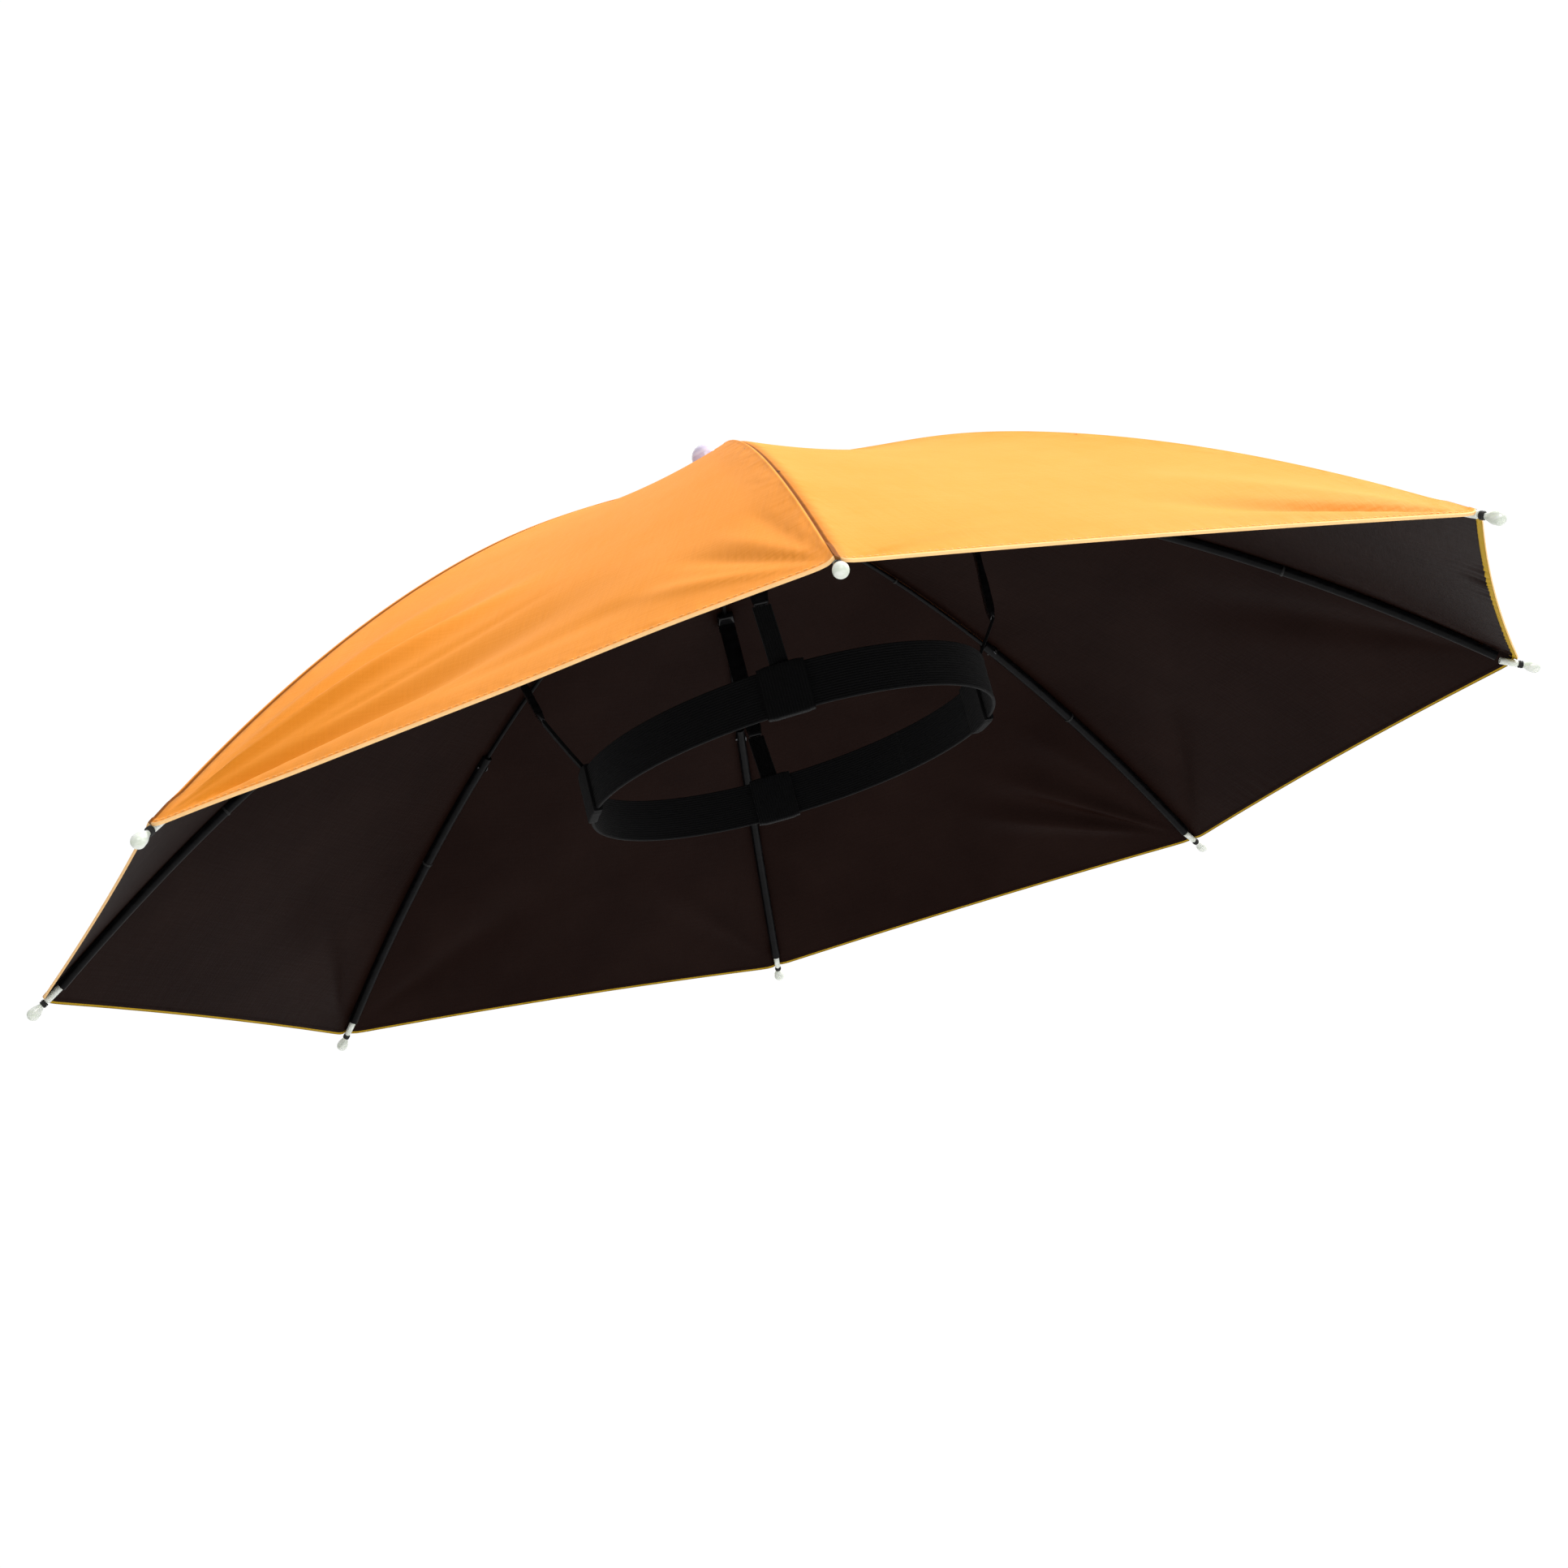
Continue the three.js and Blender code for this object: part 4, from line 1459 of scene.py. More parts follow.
        # Painted shade: how steeply each fold faces down, which darkens the cloth's colour there.
        step = 1.0 * MM
        rise = self.fold_height(number, along, up_slope + step)
        rise -= self.fold_height(number, along, up_slope - step)
        write_attribute(piece, "painted_fold_shade", np.tile(np.clip(1.5 * rise / (2 * step), 0.0, 1.0), 2))
        stitches = self._stitches(number)
        dress(piece, [self.finishes.cloth, self.finishes.lining], [f"panel_{number}"], 70)
        piece.data.polygons.foreach_set("material_index", kinds)
        piece.data.update()
        width = 2 * FORM.hem_half
        self._area(rows, shares)

    def _area(self, rows: Rows, shares: Rows) -> float:
        """Flat area of a gore, from its width at each row."""
        widths = 2 * FORM.half_width(shares)
        return float(np.sum((widths[1:] + widths[:-1]) / 2 * np.diff(rows)))

    @staticmethod
    def _faces(rows: int, columns: int) -> tuple[list[tuple[int, ...]], Rows]:
        """Faces of the outer grid, the inner grid and the rims, and the material of each.

        Args:
            rows: rows of the grid from the hem up.
            columns: columns from the first seam to the second.

        Returns:
            The faces, and 0 for orange or 1 for black at each.
        """
        out, inn = np.arange(2 * rows * columns).reshape(2, rows, columns)
        orange = [tuple(face) for face in triangles(out)]
        black = [tuple(face)[::-1] for face in triangles(inn)]
        rims = [
            np.column_stack([inn[0, :-1], inn[0, 1:], out[0, 1:], out[0, :-1]]),
            np.column_stack([out[-1, :-1], out[-1, 1:], inn[-1, 1:], inn[-1, :-1]]),
            np.column_stack([out[:-1, 0], out[1:, 0], inn[1:, 0], inn[:-1, 0]]),
            np.column_stack([inn[:-1, -1], inn[1:, -1], out[1:, -1], out[:-1, -1]]),
        ]
        edges = [tuple(face) for face in np.vstack(rims)]
        kinds = [0] * len(orange) + [1] * len(black) + [0] * len(edges)
        return orange + black + edges, np.array(kinds, np.int32)

    def _stitches(self, number: int) -> Piece:
        """The stitches of a gore's turned hem, as short bars that dip into the cloth at both ends.

        Args:
            number: the gore.

        Returns:
            The stitches as one piece.
        """
        reach = FORM.hem_half - 4 * MM
        up = np.array([self.stitch_height])
        share, slope = self._slope()
        at = np.interp(up, slope, share)
        end = (-1.2, 0.7)
        shoulder = (0.25, 1.0)
        profile = [(-1.0, *end), (-0.75, *shoulder), (0.0, 0.85, 1.0), (0.75, *shoulder), (1.0, *end)]
        sides = self.stitch_sides
        points = []
        faces = []
        for middle in np.arange(-reach, reach, self.stitch_pitch):
            faces += ring_faces(sides, len(profile), start=len(points))
            for offset, height, fat in profile:
                along = np.array([middle + offset * self.stitch_length / 2])
                place, normal = (rows[0] for rows in self.surface(number, at, along, up)[:2])
                run = self.surface(number, at, along + 1e-4, up)[0][0] - place
                cross = np.cross(normal, run / np.linalg.norm(run))
                centre = place + normal * height * self.stitch_radius
                for k in range(sides):
                    turn = 2 * math.pi * k / sides
                    ring = cross * math.cos(turn) + normal * math.sin(turn)
                    points.append(centre + ring * self.stitch_radius * fat)
        piece = mesh_piece(f"hem_stitches_{number}", np.array(points), faces)
        make_normals_agree(piece)
        return dress(piece, [self.finishes.orange_thread], smooth_angle=60)


# Ribs, tips, hub and cap


@dataclass
class Ribs:
    """The folding ribs: rods from the hub, channels to the tips, and their joints."""

    finishes: Finishes
    rod_radius: float = 1.0 * MM
    channel_radius: float = 2.3 * MM
    channel_wall: float = 0.5 * MM
    lip_height: float = 1.0 * MM
    joint_share: float = 0.56
    overlap: float = 12 * MM
    rod_start: float = 7.3 * MM
    tip_cover: float = 16.3 * MM
    segments: int = 40
    rivet_radius: float = 0.7 * MM
    rivet_head: float = 1.75
    rivet_dome: float = 0.6
    tie_shares: tuple[float, ...] = (0.36, 0.72)
    tie_thread: float = 0.2 * MM
    tie_pitch: float = 0.36 * MM
    tie_top: float = 1.8 * MM

    def build(self) -> None:
        """Builds the rods, channels, rivets and ties of all ribs."""
        models = rod, channel, rivet, tie = self._rod(), self._channel(), self._rivet(), self._tie()
        half_lap = self.overlap / 2 / FORM.reach
        for number in NUMBERS:
            inner = self.rod_start / FORM.reach, self.joint_share + half_lap
            outer = self.joint_share - half_lap, self.channel_end(number)
            self._lay(rod, f"rod_{number}", number, inner, f"rib_inner_{number}")
            self._lay(channel, f"channel_{number}", number, outer, f"rib_outer_{number}")
            joint = copy_piece(rivet, f"rivet_{number}")
            settle(joint, FORM.on_rib(number, self.joint_share))
            dress(joint, [self.finishes.bare_steel])
            for row, share in enumerate(self.tie_shares):
                loops = copy_piece(tie, f"tie_{number}_{row + 1}")
                radius = self.rod_radius if share < self.joint_share else self.channel_radius
                self._fit(loops, radius + 0.15 * MM)
                settle(loops, FORM.on_rib(number, share))
                dress(loops, [self.finishes.black_thread])
        for model in models:
            remove_piece(model)

    def channel_end(self, number: int) -> float:
        """Share of the reach at which a channel ends, short of the tip's sleeve."""
        tangent = FORM.seam_frame(number, 1.0)[1][0]
        return 1 - self.tip_cover * float(np.hypot(*tangent[:2])) / FORM.reach

    def _rod(self) -> Piece:
        """A rod 1 m long in even steps, along X from 0.

        Returns:
            The rod.
        """
        sizes = {"vertices": 12, "radius": self.rod_radius, "fill_type": "NGON"}
        piece = new_shape("circle", "rod", rotation=(0, math.pi / 2, 0), **sizes)
        start_editing(piece)
        draw_out(self.segments)
        return piece

    def _channel(self) -> Piece:
        """A channel 1 m long in even steps, along X from 0, rounded below and open above.

        Returns:
            The channel.
        """
        sizes = {"vertices": 24, "radius": self.channel_radius, "fill_type": "NOTHING"}
        piece = new_shape("circle", "channel", rotation=(0, math.pi / 2, 0), **sizes)
        start_editing(piece)
        pick_points(piece, lambda place: place.z > 0.1 * MM)
        bpy.ops.mesh.delete(type="VERT")
        pick_points(piece, lambda place: place.z > -0.1 * MM)
        push((0, 0, self.lip_height))
        draw_out(self.segments)
        lowest = min(piece.data.polygons, key=lambda face: face.center.z)
        if lowest.normal.z > 0:
            piece.data.flip_normals()
        apply_modifier(piece, "SOLIDIFY", thickness=self.channel_wall, offset=-1.0, use_even_offset=True)
        make_normals_agree(piece)
        return piece

    def _lay(self, model: Piece, name: str, number: int, shares: tuple[float, float], node: str) -> None:
        """Copies a straight model, bends it along a rib and dresses it.

        Args:
            model: the straight model, 1 m long.
            name: name of the copy.
            number: the rib.
            shares: shares of the reach where it starts and ends.
            node: the node that it stands for.
        """
        line = FORM.rib_frame(number, np.linspace(*shares, 80))[0]
        length = float(np.linalg.norm(np.diff(line, axis=0), axis=1).sum())
        piece = copy_piece(model, name)
        piece.data.transform(Matrix.Diagonal((length, 1, 1, 1)))
        along_line(piece, line)
        dress(piece, [self.finishes.steel], [node])

    def _rivet(self) -> Piece:
        """A rivet across the channel, along Y, with a domed head at each end.

        Returns:
            The rivet.
        """
        sizes = {"vertices": 16, "radius": self.rivet_radius, "depth": 2 * self.channel_radius + 0.2 * MM}
        piece = new_shape("cylinder", "rivet", rotation=(math.pi / 2, 0, 0), **sizes)
        start_editing(piece, "FACE")
        for side in (-1.0, 1.0):
            pick_faces(piece, lambda normal: normal.y * side > 0.9)
            push((0, 0, 0))
            bpy.ops.transform.resize(value=(self.rivet_head, 1, self.rivet_head))
            push((0, side * 0.28 * MM, 0))
            push((0, side * 0.26 * MM, 0))
            bpy.ops.transform.resize(value=(self.rivet_dome, 1, self.rivet_dome))
            bpy.ops.mesh.select_all(action="DESELECT")
        turn_outwards()
        return piece

    def _tie(self) -> Piece:
        """Three turns of the thread that ties a rib to its seam, round X and 1 m wide.

        Returns:
            The turns as one piece.
        """
        sizes = {"major_radius": 1.0, "minor_radius": self.tie_thread, "rotation": (0, math.pi / 2, 0)}
        steps = {"major_segments": 20, "minor_segments": 6}
        loops = [
            new_shape("torus", "loop", location=(k * self.tie_pitch, 0, 0), **sizes, **steps)
            for k in (-1, 0, 1)
        ]
        return join_pieces(loops, "tie")

    def _fit(self, piece: Piece, radius: float) -> None:
        """Brings the turns of a tie in to a radius, and flattens them under the cloth.

        Args:
            piece: the tie.
            radius: the radius.
        """
        for vertex in piece.data.vertices:
            ring = Vector((0.0, vertex.co.y, vertex.co.z))
            fitted = ring.normalized() * (radius + ring.length - 1.0)
            vertex.co = Vector((vertex.co.x, fitted.y, min(fitted.z, self.tie_top)))


@dataclass(frozen=True)
class TipTrim:
    """How far one tip's ball is bent up and out, and its sleeve down and aside."""

    ball_up: float
    ball_out: float
    sleeve_down: float
    sleeve_aside: float = 0.0


@dataclass
class Tips:
    """The pear-shaped ball tips with their sleeves, and the thread that ties the cloth to them."""

    finishes: Finishes
    ribs: Ribs
    ball_radius: float = 2.75 * MM
    sink: float = 1.9 * MM
    neck_radius: float = 1.1 * MM
    sleeve_radius: float = 1.6 * MM
    sleeve_start: float = 8 * MM
    sleeve_length: float = 8 * MM
    thread_place: float = 6.4 * MM
    thread_radius: float = 0.27 * MM
    thread_pitch: float = 0.42 * MM
    steps: int = 28
    trims: tuple[TipTrim, ...] = (
        TipTrim(1.5 * MM, 1.0 * MM, -0.5 * MM),
        TipTrim(1.7 * MM, 1.4 * MM, 2.1 * MM),
        TipTrim(1.4 * MM, 0.0, 0.5 * MM),
        TipTrim(0.6 * MM, 0.0, 0.3 * MM),
        TipTrim(0.0, 0.0, 0.0),
        TipTrim(0.3 * MM, 0.0, 0.0),
        TipTrim(0.4 * MM, 0.0, 0.0),
        TipTrim(0.6 * MM, 0.0, 0.5 * MM, 1.4 * MM),
    )

    def build(self) -> None:
        """Builds the eight tips."""
        model = lathe("tip", self._outline(), self.steps)
        wrap = self._wrap()
        for number in NUMBERS:
            place = self._place(number)
            tip = copy_piece(model, f"ball_tip_{number}")
            settle(tip, place)
            dress(tip, [self.finishes.tip], [f"tip_{number}"], smooth_angle=50)
            thread = copy_piece(wrap, f"tip_thread_{number}")
            settle(thread, place)
            dress(thread, [self.finishes.black_thread], smooth_angle=60)
        remove_piece(model)
        remove_piece(wrap)

    def _outline(self) -> list[tuple[float, float]]:
        """The tip's outline from the sleeve's open end to the top of the ball.

        Returns:
            Radius and height of each point.
        """
        end = -self.sleeve_start - self.sleeve_length
        sleeve = [(-0.45, 0.5), (-0.4, 0.0), (-0.1, 0.0), (0.0, 0.15)]
        collar = [(-0.05, -0.25), (-0.2, 0.0)]
        pear = [(0.0, 0.9 * MM - self.thread_place), (0.2, -4.8 * MM), (0.6, -3.9 * MM), (1.1, -2.8 * MM)]
        points = [(0.0, end + 0.5 * MM)]
        points += [(self.sleeve_radius + out * MM, end + up * MM) for out, up in sleeve]
        points += [(self.sleeve_radius + out * MM, up * MM - self.sleeve_start) for out, up in collar]
        points.append((self.neck_radius, 0.1 * MM - self.sleeve_start))
        points += [(self.neck_radius + out * MM, height) for out, height in pear]
        points.append((self.neck_radius + 1.45 * MM, -1.8 * MM))
        for degrees in np.linspace(-18, 90, 9)[:-1]:
            turn = math.radians(degrees)
            points.append((self.ball_radius * math.cos(turn), self.ball_radius * math.sin(turn)))
        points.append((0.0, self.ball_radius))
        return points

    def _wrap(self) -> Piece:
        """Five turns of thread round the neck, every second one wider and leant the other way.

        Returns:
            The turns as one piece.
        """
        turns = []
        for k in range(5):
            wide, lean = (0.4 * MM, 4) if k % 2 else (0.28 * MM, -3)
            sizes = {"major_radius": self.neck_radius + wide, "minor_radius": self.thread_radius}
            place = (0, 0, (k - 2) * self.thread_pitch - self.thread_place)
            turn = (math.radians(lean), 0, 0)
            steps = {"major_segments": 24, "minor_segments": 8}
            turns.append(new_shape("torus", "turn", location=place, rotation=turn, **sizes, **steps))
        return join_pieces(turns, "thread_wrap")

    def _place(self, number: int) -> Matrix:
        """Where a tip goes: its ball's middle over the seam's end, and Z along its axis.

        Args:
            number: the tip.

        Returns:
            Its place.
        """
        trim = self.trims[number - 1]
        point, tangent, side, normal = (rows[0] for rows in FORM.seam_frame(number, 1.0))
        ball = point - normal * (self.sink - trim.ball_up) + tangent * trim.ball_out
        rib_end = FORM.rib_frame(number, self.ribs.channel_end(number))[0][0]
        axis = ball - rib_end + normal * trim.sleeve_down - side * trim.sleeve_aside
        axis /= np.linalg.norm(axis)
        return basis(side, np.cross(axis, side), axis, ball)


@dataclass
class Crown:
    """The notched hub under the canopy's top and the cap above it."""

    finishes: Finishes
    hub_radius: float = 13 * MM
    hub_height: float = 9 * MM
    hub_rims: tuple[tuple[float, float], ...] = ((2.6 * MM, 0.8 * MM), (4.5 * MM, -1.0 * MM))
    slot_depth: float = 6 * MM
    slot_width: float = 2.6 * MM
    slot_floor: float = 1.3 * MM
    wire_inset: float = 2.2 * MM
    wire_radius: float = 0.45 * MM
    shank_radius: float = 3.5 * MM
    washer_radius: float = 10 * MM
    washer_height: float = 1.6 * MM
    washer_below_top: float = 20.5 * MM
    neck_radius: float = 4.2 * MM
    cap_radius: float = 6.2 * MM

    def build(self) -> None:
        """Builds the hub with its wire ring, and the cap."""
        self._hub()
        self._wire()
        self._cap()

    def _hub(self) -> None:
        """Builds the hub: a bevelled disc, notched for the rods."""
        low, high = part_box("hub")
        sizes = {"vertices": 64, "radius": self.hub_radius, "depth": high.z - low.z}
        hub = new_shape("cylinder", "rib_hub", location=(0, 0, (low.z + high.z) / 2), **sizes)
        start_editing(hub, "FACE")
        pick_faces(hub, lambda normal: normal.z < -0.9)
        for inset, rise in self.hub_rims:
            bpy.ops.mesh.inset(thickness=inset)
            push((0, 0, rise))
        stop_editing()
        bevel(hub, 0.6 * MM, 3, 40)
        size = Matrix.Diagonal((2 * self.slot_depth, self.slot_width, 2 * self.hub_height, 1))
        shift = Matrix.Translation((self.slot_depth / 2, 0, self.hub_height - self.slot_floor))
        for number in NUMBERS:
            notch = new_shape("cube", "notch", size=1.0)
            share = (self.hub_radius - self.slot_depth / 2) / FORM.reach
            settle(notch, FORM.on_rib(number, share) @ shift @ size)
            combine(hub, notch, "DIFFERENCE")
        dress(hub, [self.finishes.hub], ["hub"], smooth_angle=35)

    def _wire(self) -> None:
        """Builds the wire that the rods turn on."""
        radius = self.hub_radius - self.wire_inset
        height = float(np.mean([FORM.rib_frame(number, radius / FORM.reach)[0][0, 2] for number in NUMBERS]))
        sizes = {"major_radius": radius, "minor_radius": self.wire_radius, "location": (0, 0, height)}
        wire = new_shape("torus", "hub_wire", major_segments=64, minor_segments=10, **sizes)
        dress(wire, [self.finishes.bare_steel])

    def _cap(self) -> None:
        """Builds the cap: a washer, a waisted neck and a dome, with the shank below."""
        low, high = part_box("finial")
        seat = high.z - self.washer_below_top
        middle = high.z - self.cap_radius
        washer = seat + self.washer_height
        outline = [
            (0.0, low.z),
            (self.shank_radius - 0.3 * MM, low.z),
            (self.shank_radius, low.z + 0.3 * MM),
            (self.shank_radius, seat),
            (self.washer_radius - 0.4 * MM, seat),
            (self.washer_radius, seat + 0.3 * MM),
            (self.washer_radius, washer - 0.5 * MM),
            (self.washer_radius - 0.5 * MM, washer),
            (self.neck_radius + 1.3 * MM, washer + 0.5 * MM),
            (self.neck_radius + 0.2 * MM, washer + 1.6 * MM),
            (self.neck_radius, washer + 3.0 * MM),
            (self.neck_radius, middle - 6.0 * MM),
            (self.neck_radius + 0.4 * MM, middle - 4.6 * MM),
            (self.cap_radius - 0.5 * MM, middle - 3.4 * MM),
            (self.cap_radius - 0.1 * MM, middle - 2.4 * MM),
        ]
        for turn in np.linspace(0, math.pi / 2, 10)[:-1]:
            outline.append((self.cap_radius * math.cos(turn), middle + self.cap_radius * math.sin(turn)))
        outline.append((0.0, high.z))
        cap = lathe("top_cap", outline, 48)
        dress(cap, [self.finishes.finial], ["finial"], smooth_angle=45)


# Headband and legs


@dataclass(frozen=True)
class LegPlan:
    """Where a leg's clip and its stay's lower end lie, as shares of the seat's radius, and its lean."""

    rib: int
    seat: float
    end: float
    lean: float = 0.0


@dataclass
class Headband:
    """The elastic band, the sleeves on it, the straps up from them and the stays clipped on the ribs."""

    finishes: Finishes
    half_width: float = 80.9 * MM
    half_depth: float = 99.3 * MM
    forward: float = 3.5 * MM
    thickness: float = 1.5 * MM
    height: float = 20 * MM
    waist: float = 0.14
    cord_start: float = 0.75
    cord_run: float = 0.12
    clearance: float = 0.3 * MM
    sleeve_width: float = 20 * MM
    sleeve_wall: float = 1.1 * MM
    sleeve_corner: float = 0.8 * MM
    sleeve_tuck: float = 0.035
    sleeve_rings: int = 17
    seat_radius: float = 110 * MM
    strap_width: float = 8 * MM
    strap_thickness: float = 1.7 * MM
    strap_bow: float = 0.25 * MM
    strap_rings: int = 14
    stay_thickness: float = 2.4 * MM
    stay_bottom: float = 37 * MM
    stay_cuts: tuple[float, ...] = (-0.42, -0.36, -0.3, -0.22, -0.14, -0.08, 0.1, 0.3)
    stay_swells: tuple[tuple[float, float, float], ...] = (
        (-0.5, 0.75, 0.8),
        (-0.42, 1.42, 0.97),
        (-0.36, 1.42, 1.0),
        (-0.3, 1.42, 1.0),
        (-0.22, 1.42, 1.0),
        (-0.14, 1.2, 1.0),
    )
    clip_length: float = 12 * MM
    clip_floor: float = 2.2 * MM
    clip_room: float = 1.3 * MM
    clip_lip: float = 0.2 * MM
    plans: tuple[LegPlan, ...] = (
        LegPlan(2, 1.03, 0.99),
        LegPlan(4, 0.98, 0.95),
        LegPlan(6, 1.07, 0.91),
        LegPlan(8, 0.88, 0.85, -1.3 * MM),
    )

    def build(self) -> None:
        """Builds the band and the four legs."""
        self._band()
        for plan in self.plans:
            self._sleeve(plan)
            self._strap(plan)
            self._stay(plan)

    def point(self, turn: Rows, offset: Rows | float = 0.0, height: Rows | float = 0.0) -> Rows:
        """Points of the oval.

        Args:
            turn: its angles.
            offset: how far out of its inner face.
            height: the heights.

        Returns:
            The points.
        """
        a = self.half_width + offset
        b = self.half_depth + offset
        return np.column_stack([a * np.cos(turn), b * np.sin(turn) - self.forward, height + 0 * turn])

    def turn_under(self, number: int) -> float:
        """The band's own angle at the place under a rib.

        Args:
            number: the rib.

        Returns:
            The angle.
        """
        x, y, _ = FORM.outward(number) * self.radius_under(number, self.thickness)
        return math.atan2((y + self.forward) / (self.half_depth + self.thickness),
                          x / (self.half_width + self.thickness))

    def radius_under(self, number: int, offset: float) -> float:
        """Distance from the canopy's axis to the band under a rib.

        Args:
            number: the rib.
            offset: how far out of the band's inner face.

        Returns:
            The distance.
        """
        x, y, _ = FORM.outward(number)
        a = self.half_width + offset
        b = self.half_depth + offset
        p = (x / a) ** 2 + (y / b) ** 2
        q = y * self.forward / b**2
        r = (self.forward / b) ** 2 - 1
        return (-q + math.sqrt(q * q - p * r)) / p

    @staticmethod
    def section(half_height: float, inner: float, outer: float, corner: float, across: int) -> Rows:
        """A rounded flat section in order round it.

        Args:
            half_height: half its height.
            inner: offset of the inner face.
            outer: offset of the outer face.
            corner: radius of the corners.
            across: steps along each long side.

        Returns:
            Rows of offset and height.
        """
        top = half_height - corner
        right = outer - corner
        left = inner + corner
        rows = []
        sides = ((outer, right, left, top), (inner, left, right, -top))
        for half, (face, near, far, end) in enumerate(sides):
            rows += [(face, height) for height in np.linspace(-end, end, across)]
            for quarter, (centre, steps) in enumerate(((near, (1, 2, 3, 4)), (far, (0, 1, 2, 3)))):
                for step in steps:
                    turn = math.pi / 2 * (2 * half + quarter + step / 4)
                    rows.append((centre + corner * math.cos(turn), end + corner * math.sin(turn)))
        return np.array(rows)

    def _band(self) -> None:
        """Builds the band, with corded edges."""
        section = self.section(self.height / 2, 0.0, self.thickness, 0.5 * MM, 24)
        middle = np.abs(section[:, 1]) / (self.height / 2)
        centre = self.thickness / 2
        swell = 1 - self.waist * (1 - np.clip((middle - self.cord_start) / self.cord_run, 0, 1))
        section[:, 0] = centre + (section[:, 0] - centre) * swell
        turns = np.linspace(0, 2 * math.pi, 241)[:-1]
        steps = np.linalg.norm(np.diff(self.point(turns), axis=0), axis=1)
        lengths = np.concatenate([[0.0], np.cumsum(steps)])
        size = len(section)
        rings = [self.point(np.full(size, turn), section[:, 0], section[:, 1]) for turn in turns]
        maps = [np.column_stack([np.full(size, length), section[:, 1]]) for length in lengths]
        piece = tube("elastic_band", rings, maps, closed=True)
        dress(piece, [self.finishes.band], ["headband"], smooth_angle=60)

    def _sleeve(self, plan: LegPlan) -> None:
        """Builds a loop of tape round the band, whose ends are folded in.

        Args:
            plan: the leg.
        """
        middle = self.turn_under(plan.rib)
        step = 0.01
        before, after = self.point(np.array([middle - step, middle + step]))
        speed = float(np.linalg.norm(after - before)) / (2 * step)
        gap = self.clearance
        wall = gap + self.sleeve_wall
        half = self.height / 2
        outer = self.section(half + wall, -wall, self.thickness + wall, self.sleeve_corner, 10)
        inner = self.section(half + gap, -gap, self.thickness + gap, 0.3 * MM, 10)
        centre = np.array([self.thickness / 2, 0.0])
        rings = []
        maps = []
        for layer, tuck, way in ((outer, self.sleeve_tuck, 1), (inner, 0.0, -1)):
            for place in np.linspace(-1, 1, self.sleeve_rings)[::way]:
                narrow = 1 - tuck * float(ease(np.array(abs(place)), 0.72, 0.8))
                ring = centre + (layer - centre) * np.array([1.0, narrow])
                distance = np.full(len(ring), place * self.sleeve_width / 2)
                rings.append(self.point(middle + distance / speed, ring[:, 0], ring[:, 1]))
                maps.append(np.column_stack([distance, ring[:, 1]]))
        piece = tube(f"sleeve_loop_{plan.rib}", rings, maps, closed=True)
        dress(piece, [self.finishes.tape], [f"sleeve_{plan.rib}"], smooth_angle=50)

    def _line(self, plan: LegPlan) -> Line:
        """A leg's directions and ends.

        Args:
            plan: the leg.

        Returns:
            Its outward and sideways directions, its stay's lower end and its strap's foot.
        """
        out = FORM.outward(plan.rib)
        side = FORM.sideways(plan.rib)
        stay_end = out * plan.end * self.seat_radius + side * plan.lean + np.array([0, 0, self.stay_bottom])
        foot_height = self.height / 2 + 2 * self.clearance + self.sleeve_wall
        foot = out * self.radius_under(plan.rib, self.thickness / 2) + np.array([0, 0, foot_height])
        return out, side, stay_end, foot

    def _strap(self, plan: LegPlan) -> None:
        """Builds the woven strap from the sleeve up to the stay, slightly bowed.

        Args:
            plan: the leg.
        """
        out, side, stay_end, foot = self._line(plan)
        run = stay_end - np.array([0, 0, self.clearance]) - foot
        half = self.strap_thickness / 2
        section = self.section(self.strap_width / 2, -half, half, 0.4 * MM, 8)
        across = section[:, :1] * out + section[:, 1:] * side
        rings = []
        maps = []
        for share in np.linspace(0, 1, self.strap_rings):
            rings.append(foot + run * share + out * self.strap_bow * math.sin(math.pi * share) + across)
            maps.append(np.column_stack([np.full(len(section), share * np.linalg.norm(run)), section[:, 1]]))
        piece = tube(f"band_strap_{plan.rib}", rings, maps)
        dress(piece, [self.finishes.strap], [f"strap_{plan.rib}"], smooth_angle=50)

    def _stay(self, plan: LegPlan) -> None:
        """Builds the stiff strip, thicker towards its lower end, with the clip that straddles the rib.

        Args:
            plan: the leg.
        """
        out, side, stay_end, _ = self._line(plan)
        seat = FORM.on_rib(plan.rib, plan.seat * self.seat_radius / FORM.reach)
        top = np.array(seat @ Vector((0, 0, -self.clip_room - self.clip_floor / 2)))
        run = stay_end - top
        length = float(np.linalg.norm(run))
        strip = new_shape("cube", f"stay_strip_{plan.rib}", size=1.0)
        settle(strip, Matrix.Diagonal((self.stay_thickness, self.strap_width, 1, 1)))
        start_editing(strip)
        for place in self.stay_cuts:
            select_all()
            bpy.ops.mesh.bisect(plane_co=(0, 0, place), plane_no=(0, 0, 1))
        for place, thick, wide in self.stay_swells:
            pick_points(strip, lambda co: abs(co.z - place) < 0.01)
            bpy.ops.transform.resize(value=(thick, wide, 1))
        stop_editing()
        strip.data.transform(Matrix.Diagonal((1, 1, length, 1)))
        bevel(strip, 1.1 * MM, 4, 50)
        strip.data.transform(basis(out, side, -run / length, (top + stay_end) / 2))
        groove = new_shape("cylinder", "groove", vertices=24, radius=self.clip_room,
                           depth=2 * self.clip_length, rotation=(0, math.pi / 2, 0))
        settle(groove, seat)
        combine(strip, self._clip(seat), "UNION")
        combine(strip, groove, "DIFFERENCE")
        dress(strip, [self.finishes.stay], [f"stay_{plan.rib}"], smooth_angle=35)

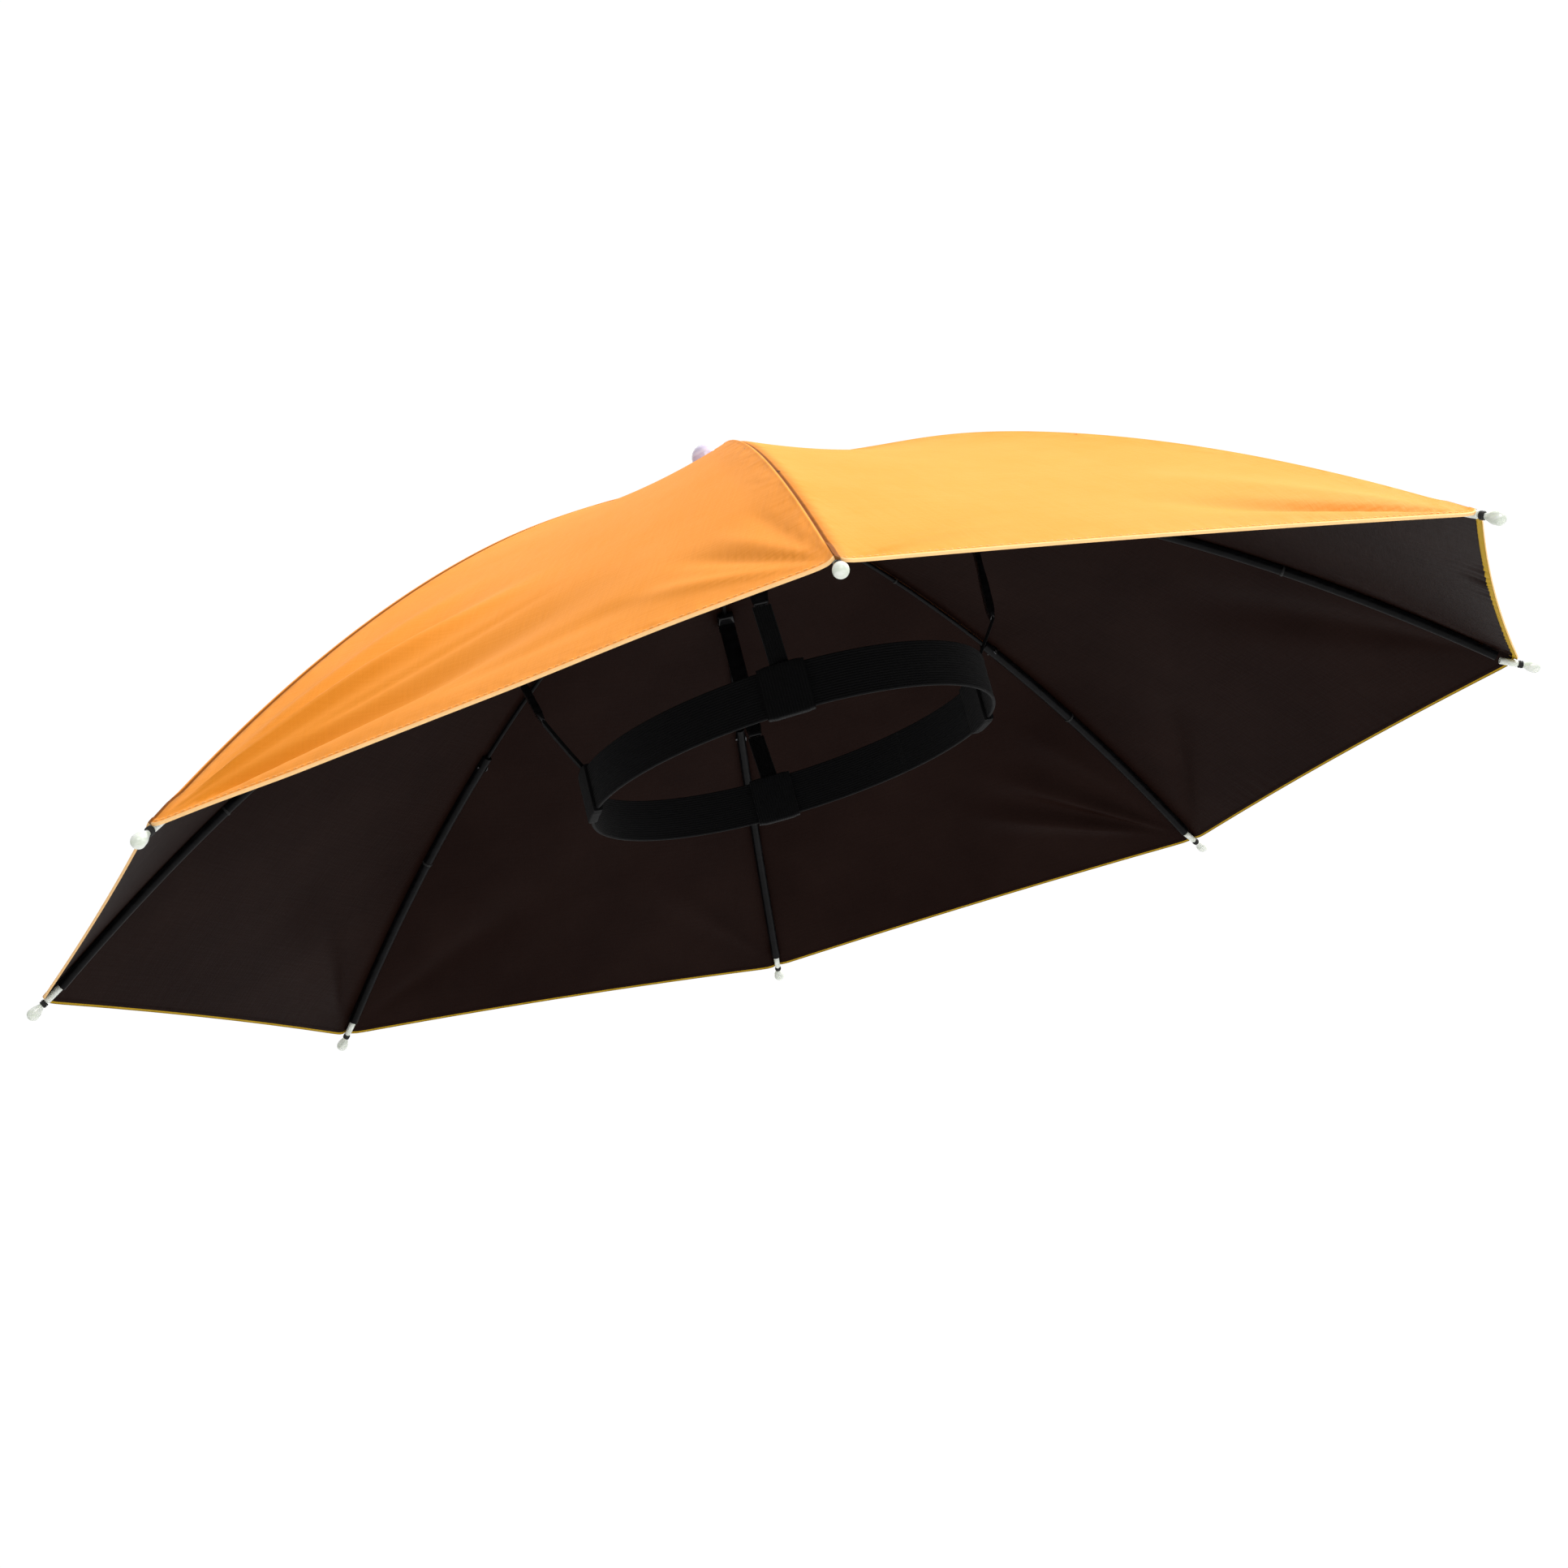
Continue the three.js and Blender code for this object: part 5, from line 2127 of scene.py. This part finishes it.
    def _clip(self, seat: Matrix) -> Piece:
        """The block of a stay's clip, narrower at its lower corners.

        Args:
            seat: its place on the rib.

        Returns:
            The block, not yet grooved for the rib.
        """
        tall = self.clip_room + self.clip_floor + self.clip_lip
        clip = new_shape("cube", "clip", size=1.0)
        settle(clip, Matrix.Diagonal((self.clip_length, self.strap_width, tall, 1)))
        start_editing(clip)
        select_all()
        bpy.ops.mesh.subdivide(number_cuts=2)
        pick_points(clip, lambda co: co.z < -0.4 * tall and abs(co.x) > 0.4 * self.clip_length)
        bpy.ops.transform.resize(value=(0.86, 0.86, 1))
        stop_editing()
        bevel(clip, 0.5 * MM, 3, 50)
        settle(clip, seat @ Matrix.Translation((0, 0, self.clip_lip - tall / 2)))
        return clip


# Room, light and camera


@dataclass(frozen=True)
class Lamp:
    """A soft square light."""

    name: str
    place: tuple[float, float, float]
    size: float
    power: float


@dataclass
class Studio:
    """A pale floor well below the hat, soft light and the camera."""

    floor_height: float = -1.25
    floor_radius: float = 4.0
    backdrop: float = 1.03
    room: float = 0.56
    backdrop_facing: tuple[float, float, float] = (0.749, 0.617, 0.242)
    backdrop_edge: tuple[float, float] = (30.0, 68.0)
    aim: tuple[float, float, float] = (0.0, 0.0, 0.05)
    camera_place: tuple[float, float, float] = (-786.76 * MM, -645.39 * MM, -269.82 * MM)
    camera_turn: tuple[float, float, float] = (104.4495, 13.9729, -46.9523)
    lens: float = 53.904
    lamps: tuple[Lamp, ...] = (
        Lamp("key", (1.25, -1.15, 1.6), 0.8, 80.0),
        Lamp("fill", (-1.3, -2.1, 0.9), 1.4, 27.0),
    )

    def build(self) -> None:
        """Makes the floor, the lights and the camera."""
        self._floor()
        self._sky()
        for lamp in self.lamps:
            self._light(lamp)
        self._camera()
        bpy.context.scene.view_settings.view_transform = "Standard"
        bpy.context.scene.view_settings.look = "None"

    def _floor(self) -> None:
        """Makes a wide plain floor."""
        floor = new_shape("circle", "studio_floor", vertices=96, radius=self.floor_radius, fill_type="NGON")
        floor.location.z = self.floor_height
        tree = Shader("pale floor")
        patches = tree.group(EFFECTS.mottle, Vector=tree.place(), Size=0.8)["Mask"]
        pale = tree.blend(patches, (0.93, 0.93, 0.93), (0.95, 0.95, 0.95))
        floor.data.materials.append(tree.close(Base_Color=pale, Roughness=0.9))

    def _sky(self) -> None:
        """Makes a white backdrop behind the hat in a pale grey room."""
        world = bpy.data.worlds.new("studio")
        world.use_nodes = True
        bpy.context.scene.world = world
        tree = Tree(world.node_tree)
        inputs = {0: tree.place("Generated"), 1: self.backdrop_facing}
        facing = tree.add("ShaderNodeVectorMath", inputs, operation="DOT_PRODUCT").outputs["Value"]
        near, far = (math.cos(math.radians(turn)) for turn in self.backdrop_edge)
        share = tree.fade(facing, far, near)
        level = tree.math("MULTIPLY_ADD", share, self.room - self.backdrop, self.backdrop)
        back = tree.add("ShaderNodeBackground", {"Color": (1.0, 1.0, 1.0), "Strength": level})
        tree.add("ShaderNodeOutputWorld", {"Surface": back.outputs["Background"]})

    def _light(self, lamp: Lamp) -> None:
        """Makes one soft light, aimed at the hat.

        Args:
            lamp: the light.
        """
        data = bpy.data.lights.new(lamp.name, "AREA")
        data.energy = lamp.power
        data.size = lamp.size
        light = bpy.data.objects.new(lamp.name, data)
        light.location = lamp.place
        light.rotation_euler = (Vector(self.aim) - Vector(lamp.place)).to_track_quat("-Z", "Y").to_euler()
        bpy.context.scene.collection.objects.link(light)

    def _camera(self) -> None:
        """Makes the camera, at the photograph's place, turn and lens."""
        data = bpy.data.cameras.new("camera")
        data.lens = self.lens
        data.sensor_width = 36.0
        data.clip_start = 0.05
        data.clip_end = 60.0
        camera = bpy.data.objects.new("camera", data)
        camera.location = self.camera_place
        camera.rotation_euler = Euler([math.radians(turn) for turn in self.camera_turn], "XYZ")
        bpy.context.scene.collection.objects.link(camera)
        bpy.context.scene.camera = camera


def main() -> None:
    """Builds the hat in order, while each piece is reported as it is dressed."""
    logging.basicConfig(level=logging.INFO, format="%(name)s: %(message)s")
    finishes = Finishes()
    Studio().build()
    Canopy(finishes).build()
    ribs = Ribs(finishes)
    ribs.build()
    Tips(finishes, ribs).build()
    Crown(finishes).build()
    Headband(finishes).build()


if __name__ == "__main__":
    main()
